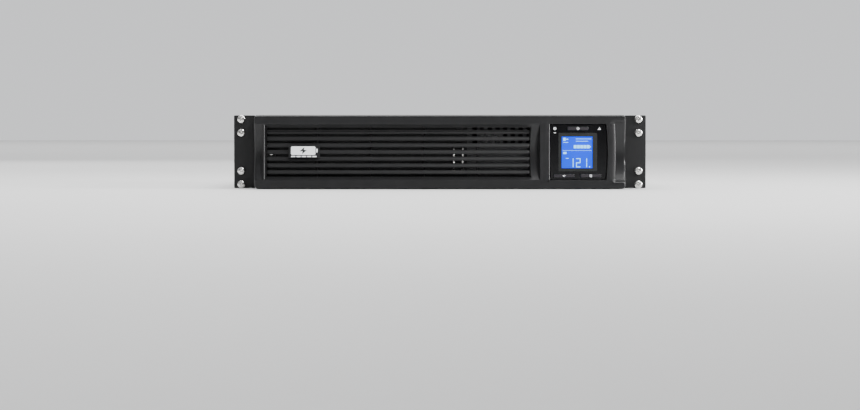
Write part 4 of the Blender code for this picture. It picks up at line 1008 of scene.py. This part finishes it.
def breaker():
    low, high = node_box("breaker_body")
    x, z = BREAKER_AT
    face = high.y
    body = Shape().block(x, z, 7.5, 13, low.y, 195.1, 0.8)
    collar = [(4.3, 190), (4.3, face - 0.5), (4.8, face), (5.6, face), (5.6, face - 2.4), (5.6, 190)]
    body.lathe(collar, (x, 0, z), steps=36, loop=True)
    body.piece("breaker_case", RESIN, "black_plastic", "breaker_body")
    ring = [(5.7, face - 2.5), (5.7, face - 0.6), (8.1, face - 0.6), (8.5, face - 0.9)]
    ring += [(8.5, face - 2.3), (8.3, face - 2.5)]
    nut = Shape().lathe(ring, (x, 0, z), steps=48, loop=True, teeth=0.35)
    nut.piece("breaker_nut", NICKEL, "nickel")
    low, high = node_box("breaker_button")
    dome = [(0, low.y), (3.4, low.y), (3.6, low.y + 0.3), (3.6, high.y - 0.7), (3.4, high.y - 0.25)]
    dome += [(2.8, high.y), (2.2, high.y - 0.12), (0, high.y - 0.22)]
    cap = Shape().lathe(dome, (x, 0, z), steps=36)
    cap.piece("breaker_cap", RESIN, "black_plastic", "breaker_button", body="breaker_button")


def ports():
    serial = [(-5.9, -3.5), (-3.1, -3.5), (-3.1, -5.5), (3.1, -5.5), (3.1, -3.5), (5.9, -3.5), (5.9, 4.5), (-5.9, 4.5)]
    for name, at, opening, material, slot in (
        ("usb_port", USB_AT, rounded(-4.3, -3.9, 4.3, 3.9, 0.3, 3), ZINC, "zinc"),
        ("serial_port", SERIAL_AT, serial, RESIN, "black_plastic"),
    ):
        low, high = node_box(name)
        outline = rounded(low.x, low.z, high.x, high.z, 0.5)
        shell = Shape().plate(outline, [shifted(opening, *at)], low.y + 3, high.y, 0.12)
        shell.box((low.x, low.y, low.z), (high.x, low.y + 3.1, high.z), 0.3)
        shell.piece(f"{name}_shell", material, slot, name)
    gold = Shape()
    x, z = SERIAL_AT
    for pin in (x - 3.57 + 1.02 * i for i in range(8)):
        gold.tube([(pin, 184.5, z + 4.2), (pin, 191.0, z + 4.0), (pin, 193.6, z + 3.4), (pin, 190.0, z + 0.9)], 0.16, 6)
    x, z = USB_AT
    for strip in (z - 1.65, z + 1.65):
        gold.block(x, strip, 2.2, 0.08, 186, 193, 0.03)
    gold.piece("port_contacts", BRASS, "zinc")
    tongue = Shape().block(x, z, 2.8, 1.6, 184, 194, 0.3)
    tongue.piece("usb_tongue", GREY, "zinc")


def ground():
    low, high = node_box("ground_screw")
    x, z = GROUND_AT
    profile = [(0, low.y), (2.0, low.y), (2.0, 197.2), (4.2, 197.2), (4.2, 197.7), (3.9, 197.95), (0, 197.95)]
    screw = Shape().lathe(profile, (x, 0, z), steps=32)
    screw.plate(circle(x, z, 3.5, 6), [], 197.8, high.y, 0.45)
    screw.solve(Shape().block(x, z, 4.5, 0.5, high.y - 1.0, high.y + 1))
    screw.piece("ground_bolt", BRASS, "nickel", "ground_screw")


def fan():
    x, z = FAN_AT
    low, high = node_box("fan_guard")
    y, wire, eye_radius = (low.y + high.y) / 2, 0.9, 4.0
    guard = Shape()
    for radius in (10, 18, 26, 34):
        guard.tube([(a, y, b) for a, b in circle(x, z, radius, 64)], wire, 10, loop=True)
    for a, b in CORNERS:
        along = Vector((a, 0, b)).normalized()
        across = Vector((-along.z, 0, along.x))
        eye = Vector((x + a, y, z + b))
        leg = [Vector((x, y, z)) + along * r for r in (9.5, 20, 30, 38, 43)] + [eye - along * eye_radius]
        for t in (0.7, 1.4, 2.1, 2.8, 3.5, 4.2, 4.9, 5.6):
            leg.append(eye + along * (-eye_radius * math.cos(t)) + across * (eye_radius * math.sin(t)))
        guard.tube(leg, wire, 10)
    guard.piece("fan_guard_wire", NICKEL, "nickel", "fan_guard")
    screws("fan_screws", phillips(3.4, 2.1, 1.2, 0.45), [((x + a, 199.1, z + b), "rear") for a, b in CORNERS])

    low, high = node_box("fan_rotor")
    hub_rear, middle = 189.5, 180.8
    hub = [(0, low.y), (14.5, low.y), (16.0, low.y + 0.6), (16.5, low.y + 2)]
    hub += [(16.5, hub_rear - 0.5), (16.0, hub_rear), (0, hub_rear)]
    rotor = Shape().lathe(hub, (x, 0, z), steps=48)
    rotor.lathe([(0, hub_rear - 0.2), (1.5, hub_rear - 0.2), (1.5, high.y), (0, high.y)], (x, 0, z), steps=16)
    section = ((-1, 0), (-0.6, 0.55), (0, 0.75), (0.6, 0.5), (1, 0), (0.6, -0.4), (0, -0.6), (-0.6, -0.45))
    blades = 7
    for blade in range(blades):
        rings = []
        for q in (k / 6 for k in range(7)):  # from the hub to the tip
            r, chord, pitch = 15.6 + 19.8 * q, 9.0 + 3.2 * q, math.radians(50 - 20 * q)
            ring = []
            for t, thick in section:
                rise = 1.3 * (1 - t * t) + thick
                u = t * chord * math.cos(pitch) - rise * math.sin(pitch)
                v = t * chord * math.sin(pitch) + rise * math.cos(pitch)
                angle = TURN * blade / blades + 0.22 * q * q + u / r
                ring.append((x + r * math.sin(angle), middle + v, z + r * math.cos(angle)))
            rings.append(ring)
        rotor.loft(rings)
    rotor.piece("fan_impeller", RESIN, "black_plastic", "fan_rotor", body="fan_rotor")


# ---------------------------------------------------------------- battery drawer
THUMB_SCREWS = ("thumb_screw_left", "thumb_screw_right")


def drawer():
    low, high = node_box("battery_tray")
    pan = Shape().box((-190, CASE_FRONT - 0.2, low.z), (14, high.y, 40), 1.2, 3)
    pan.solve(Shape().box((-189, CASE_FRONT + 1, low.z + 1), (13, high.y - 1, 60), 0.8, 3))
    pan.solve(Shape().box((-110, high.y - 10, 25), (-66, high.y + 5, 60), 2.0))
    pan.piece("tray_pan", ZINC, "zinc", body="battery_module")
    holes = [circle(*node_middle(name), 3.2, 24) for name in THUMB_SCREWS]
    door = Shape().plate(rounded(low.x, 6.5, high.x, high.z, 2.0), holes, low.y, low.y + SHEET, 0.35)
    door.piece("tray_door", POWDER, "black_paint", "battery_tray", body="battery_module")

    # pull handle: two wires side by side, each standing in two collars
    low, high = node_box("tray_handle")
    wire, bend = 1.15, 5.0
    middle, z0, z1 = node_middle("tray_handle")[0] - 1.6, low.z + 2.25, high.z - 2.25
    turning = [(bend * math.sin(a), bend * math.cos(a)) for a in (math.pi / 2 * i / 8 for i in range(9))]
    y = low.y + wire + bend
    handle = Shape()
    for x in (middle - 5.3, middle + 5.3):
        path = [(x, high.y, z0), *((x, y - s, z0 + bend - c) for s, c in turning)]
        path += [*((x, y - c, z1 - bend + s) for s, c in turning), (x, high.y, z1)]
        handle.tube(path, wire, 16)
        for z in (z0, z1):
            collar = [(1.3, high.y - 0.9), (2.0, high.y - 0.9), (2.3, high.y - 0.6), (2.3, high.y), (1.3, high.y)]
            handle.lathe(collar, (x, 0, z), steps=24, loop=True)
    handle.piece("tray_pull", NICKEL, "nickel", "tray_handle", body="battery_module")

    for name in THUMB_SCREWS:
        low, high = node_box(name)
        x, z = node_middle(name)
        face = low.y
        knob = [(1.5, 7.2), (3.2, 7.2), (3.4, 6.2), (4.6, 6.2), (5.0, 5.8)]
        knob += [(5.0, 1.2), (4.5, 0.5), (4.1, 0.2), (2.0, 0.2), (1.7, 0.6), (1.5, 0.6)]
        head = Shape().lathe([(r, face + h) for r, h in knob], (x, 0, z), steps=56, teeth=0.28, loop=True)
        head.piece(f"{name}_knob", RESIN, "nickel", name, body=name, angle=25)
        shank = [(0, high.y), (1.8, high.y), (2.4, high.y - 0.8), (2.4, face + 7.3), (1.45, face + 7.3)]
        screw = Shape().lathe([*shank, (1.45, face + 0.35), (1.2, face), (0, face)], (x, 0, z), steps=28)
        screw.solve(Shape().block(x, z, 2, 0.25, face - 1, face + 0.7))
        screw.piece(f"{name}_shank", NICKEL, "nickel", body=name)


def cells():
    for name, side in (("battery_left", -1), ("battery_right", 1)):
        low, high = node_box(name)
        far, near = (low.x, high.x) if side < 0 else (high.x, low.x)  # near is where the tabs end
        lid, seam = near + side * 5, near + side * 12
        block = Shape()

        def part(x0, x1, inset, radius, segments=2):
            (a, b), step = sorted((x0, x1)), Vector((0, inset, inset))
            block.box(Vector((a, low.y, low.z)) + step, Vector((b, high.y, high.z)) - step, radius, segments)
            return a, b

        a, b = part(seam + side * 0.5, far, 0, 2.0, 4)
        block.solve(Shape().box((a + 14, low.y + 22, high.z - 0.5), (b - 10, high.y - 22, high.z + 3), 0.4))
        for y in (low.y + 15 + 24.2 * k for k in range(6)):
            block.box((a + 3, y - 0.6, low.z + 6), (b, y + 0.6, high.z - 0.15), 0.3)
        part(seam + side * 0.8, seam - side * 0.3, 0.9, 0.3)
        part(seam, lid, 0, 1.6, 4)
        block.piece(f"{name}_case", BATTERY, "battery_case", name, body="battery_module")
        tabs = Shape()
        a, b = sorted((lid + side * 0.8, near))
        z, middle = low.z + 32, (low.y + high.y) / 2
        for y in (middle - 60, middle + 60):
            tabs.box((a, y - 3, z - 0.4), (b, y + 3, z + 0.4), 0.15)
        tabs.piece(f"{name}_tabs", BRASS, "nickel", body="battery_module")


def plug():
    """Tray's plug: a housing that stands on the tray, and a nose with two contact chambers."""
    low, high = node_box("battery_plug")
    middle, z, reach = node_middle("battery_plug")[0], high.z - 11, high.y
    housing = Shape().block(middle, z, 15, 9, reach - 11, reach, 0.8, 3)
    blades = Shape()
    for x in (middle - 7.2, middle + 7.2):
        housing.solve(Shape().block(x, z, 5, 5.5, reach - 8, reach + 3, 0.5))
        blades.block(x, z, 3.2, 0.7, reach - 9, reach - 1.4, 0.3)
    housing.box(low, (high.x, reach - 10, high.z), 1.4, 3)
    housing.piece("plug_housing", GREY, "connector_grey", "battery_plug", body="battery_module")
    blades.piece("plug_blades", BRASS, "nickel", body="battery_module")


for build in (
    bezel, louvres, badge, display, ears, rack_screws, chassis, cover, rear_panel,
    outlets, inlet, breaker, ports, ground, fan, drawer, cells, plug,
):
    build()

# ---------------------------------------------------------------- CAD nodes that stay
WIRES = {
    "lead_positive": RED, "battery_link": RED, "lead_negative": BLACK_WIRE,
    "battery_cable": BLACK_WIRE, "display_cable": GREY_WIRE,
}
KEPT = {
    "display_housing": PLASTIC, "front_bulkhead": STEEL, "fan_frame": RESIN, "battery_socket": GREY,
    "battery_bay": ZINC, "transformer_cradle": ZINC, "transformer_core": CORE, "transformer_winding": TAPE,
    "heatsink_front": FINS, "heatsink_rear": FINS, "capacitor_1": SLEEVE, "capacitor_2": SLEEVE,
    "main_board": BOARD, "display_board": BOARD, "comms_board": BOARD, **WIRES,
}


def keep(name, material):
    """Gives a CAD node its finish, with eased edges, or a rounder skin on a wire."""
    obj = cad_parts[name]
    obj.data.materials.clear()
    obj.data.materials.append(material)
    obj.modifiers.new("Weld", "WELD").merge_threshold = TINY
    if name in WIRES:
        rounder = obj.modifiers.new("Round", "SUBSURF")
        rounder.levels = rounder.render_levels = 1
        obj.data.shade_smooth()
        return
    bevel = obj.modifiers.new("Bevel", "BEVEL")
    bevel.width, bevel.segments, bevel.harden_normals = 0.22 * MM, 2, True
    bevel.limit_method, bevel.angle_limit = "ANGLE", math.radians(40)


for name, material in KEPT.items():
    keep(name, material)


# ---------------------------------------------------------------- stage, lights and camera, in metres
def aimed(name, data, at, aim):
    obj = in_scene(name, data)
    obj.location = at
    obj.rotation_euler = (Vector(aim) - obj.location).to_track_quat("-Z", "Y").to_euler()
    return obj


def floor():
    mesh = bpy.data.meshes.new("floor")
    reach, drop = 14.0, -0.0004
    corners = [(-reach, -reach, drop), (reach, -reach, drop), (reach, reach, drop), (-reach, reach, drop)]
    mesh.from_pydata(corners, [], [(0, 1, 2, 3)])
    mesh.materials.append(
        surface("pale_floor", (0.74, 0.74, 0.735), (0.60, 0.66), shade=0.01, shade_scale=2, specular=0.1)
    )
    in_scene("floor", mesh)


def surroundings():
    """Soft studio light from all round: brightest overhead, palest behind the object, dimmer in front of it."""
    world = bpy.data.worlds.new("studio")
    graph = Graph(world)
    axes = graph.nodes.new("ShaderNodeSeparateXYZ")
    graph.fill(axes, Vector=graph.add("TexCoord", "Generated"))

    def ramp(value, start, stop, low, high):
        return graph.add(
            "MapRange", "Result", {"interpolation_type": "SMOOTHSTEP"},
            Value=value, From_Min=start, From_Max=stop, To_Min=low, To_Max=high,
        )

    across = ramp(axes.outputs["Y"], -0.8, 0.8, 0.14, 0.96)
    up = ramp(axes.outputs["Z"], 0.05, 0.9, across, 0.60)
    graph.fill(graph.nodes["Background"], Color=(0.97, 0.98, 1.0, 1.0), Strength=up)
    bpy.context.scene.world = world


def lights():
    for name, at, aim, width, height, power in (
        ("overhead", (-0.1, 0.22, 1.6), (0, -0.1, 0.04), 1.9, 0.45, 26),
        ("rim_right", (2.2, -0.75, 0.55), (0.1, -0.2, 0.04), 0.45, 1.1, 85),
        ("high_right", (0.9, -1.5, 1.8), (0.1, -0.2, 0.04), 0.8, 0.5, 44),
        ("front_fill", (-0.6, -3.0, 1.2), (0, -0.2, 0.04), 1.4, 0.8, 2),
        ("rear_fill", (-0.9, 2.4, 1.3), (0, 0.1, 0.05), 1.6, 1.0, 18),
        ("far_floor", (0, 7.5, 6.5), (0, 7.5, 0), 16.0, 10.0, 720),
    ):
        light = bpy.data.lights.new(name, "AREA")
        light.shape, light.size, light.size_y, light.energy = "RECTANGLE", width, height, power
        aimed(name, light, at, aim)


def camera():
    """Straight in front, a little above the object's middle."""
    lens = bpy.data.cameras.new("camera")
    distance, frame_width = 3.4, 0.9987  # the width is the one seen at the bezel's face
    lens.sensor_width = 36.0
    lens.lens = lens.sensor_width * distance / frame_width
    lens.clip_end = 60
    x, face = -0.0116, FRONT * MM
    bpy.context.scene.camera = aimed("camera", lens, (x, face - distance, 0.070), (x, face, 0.043 - 0.0616))


floor()
surroundings()
lights()
camera()
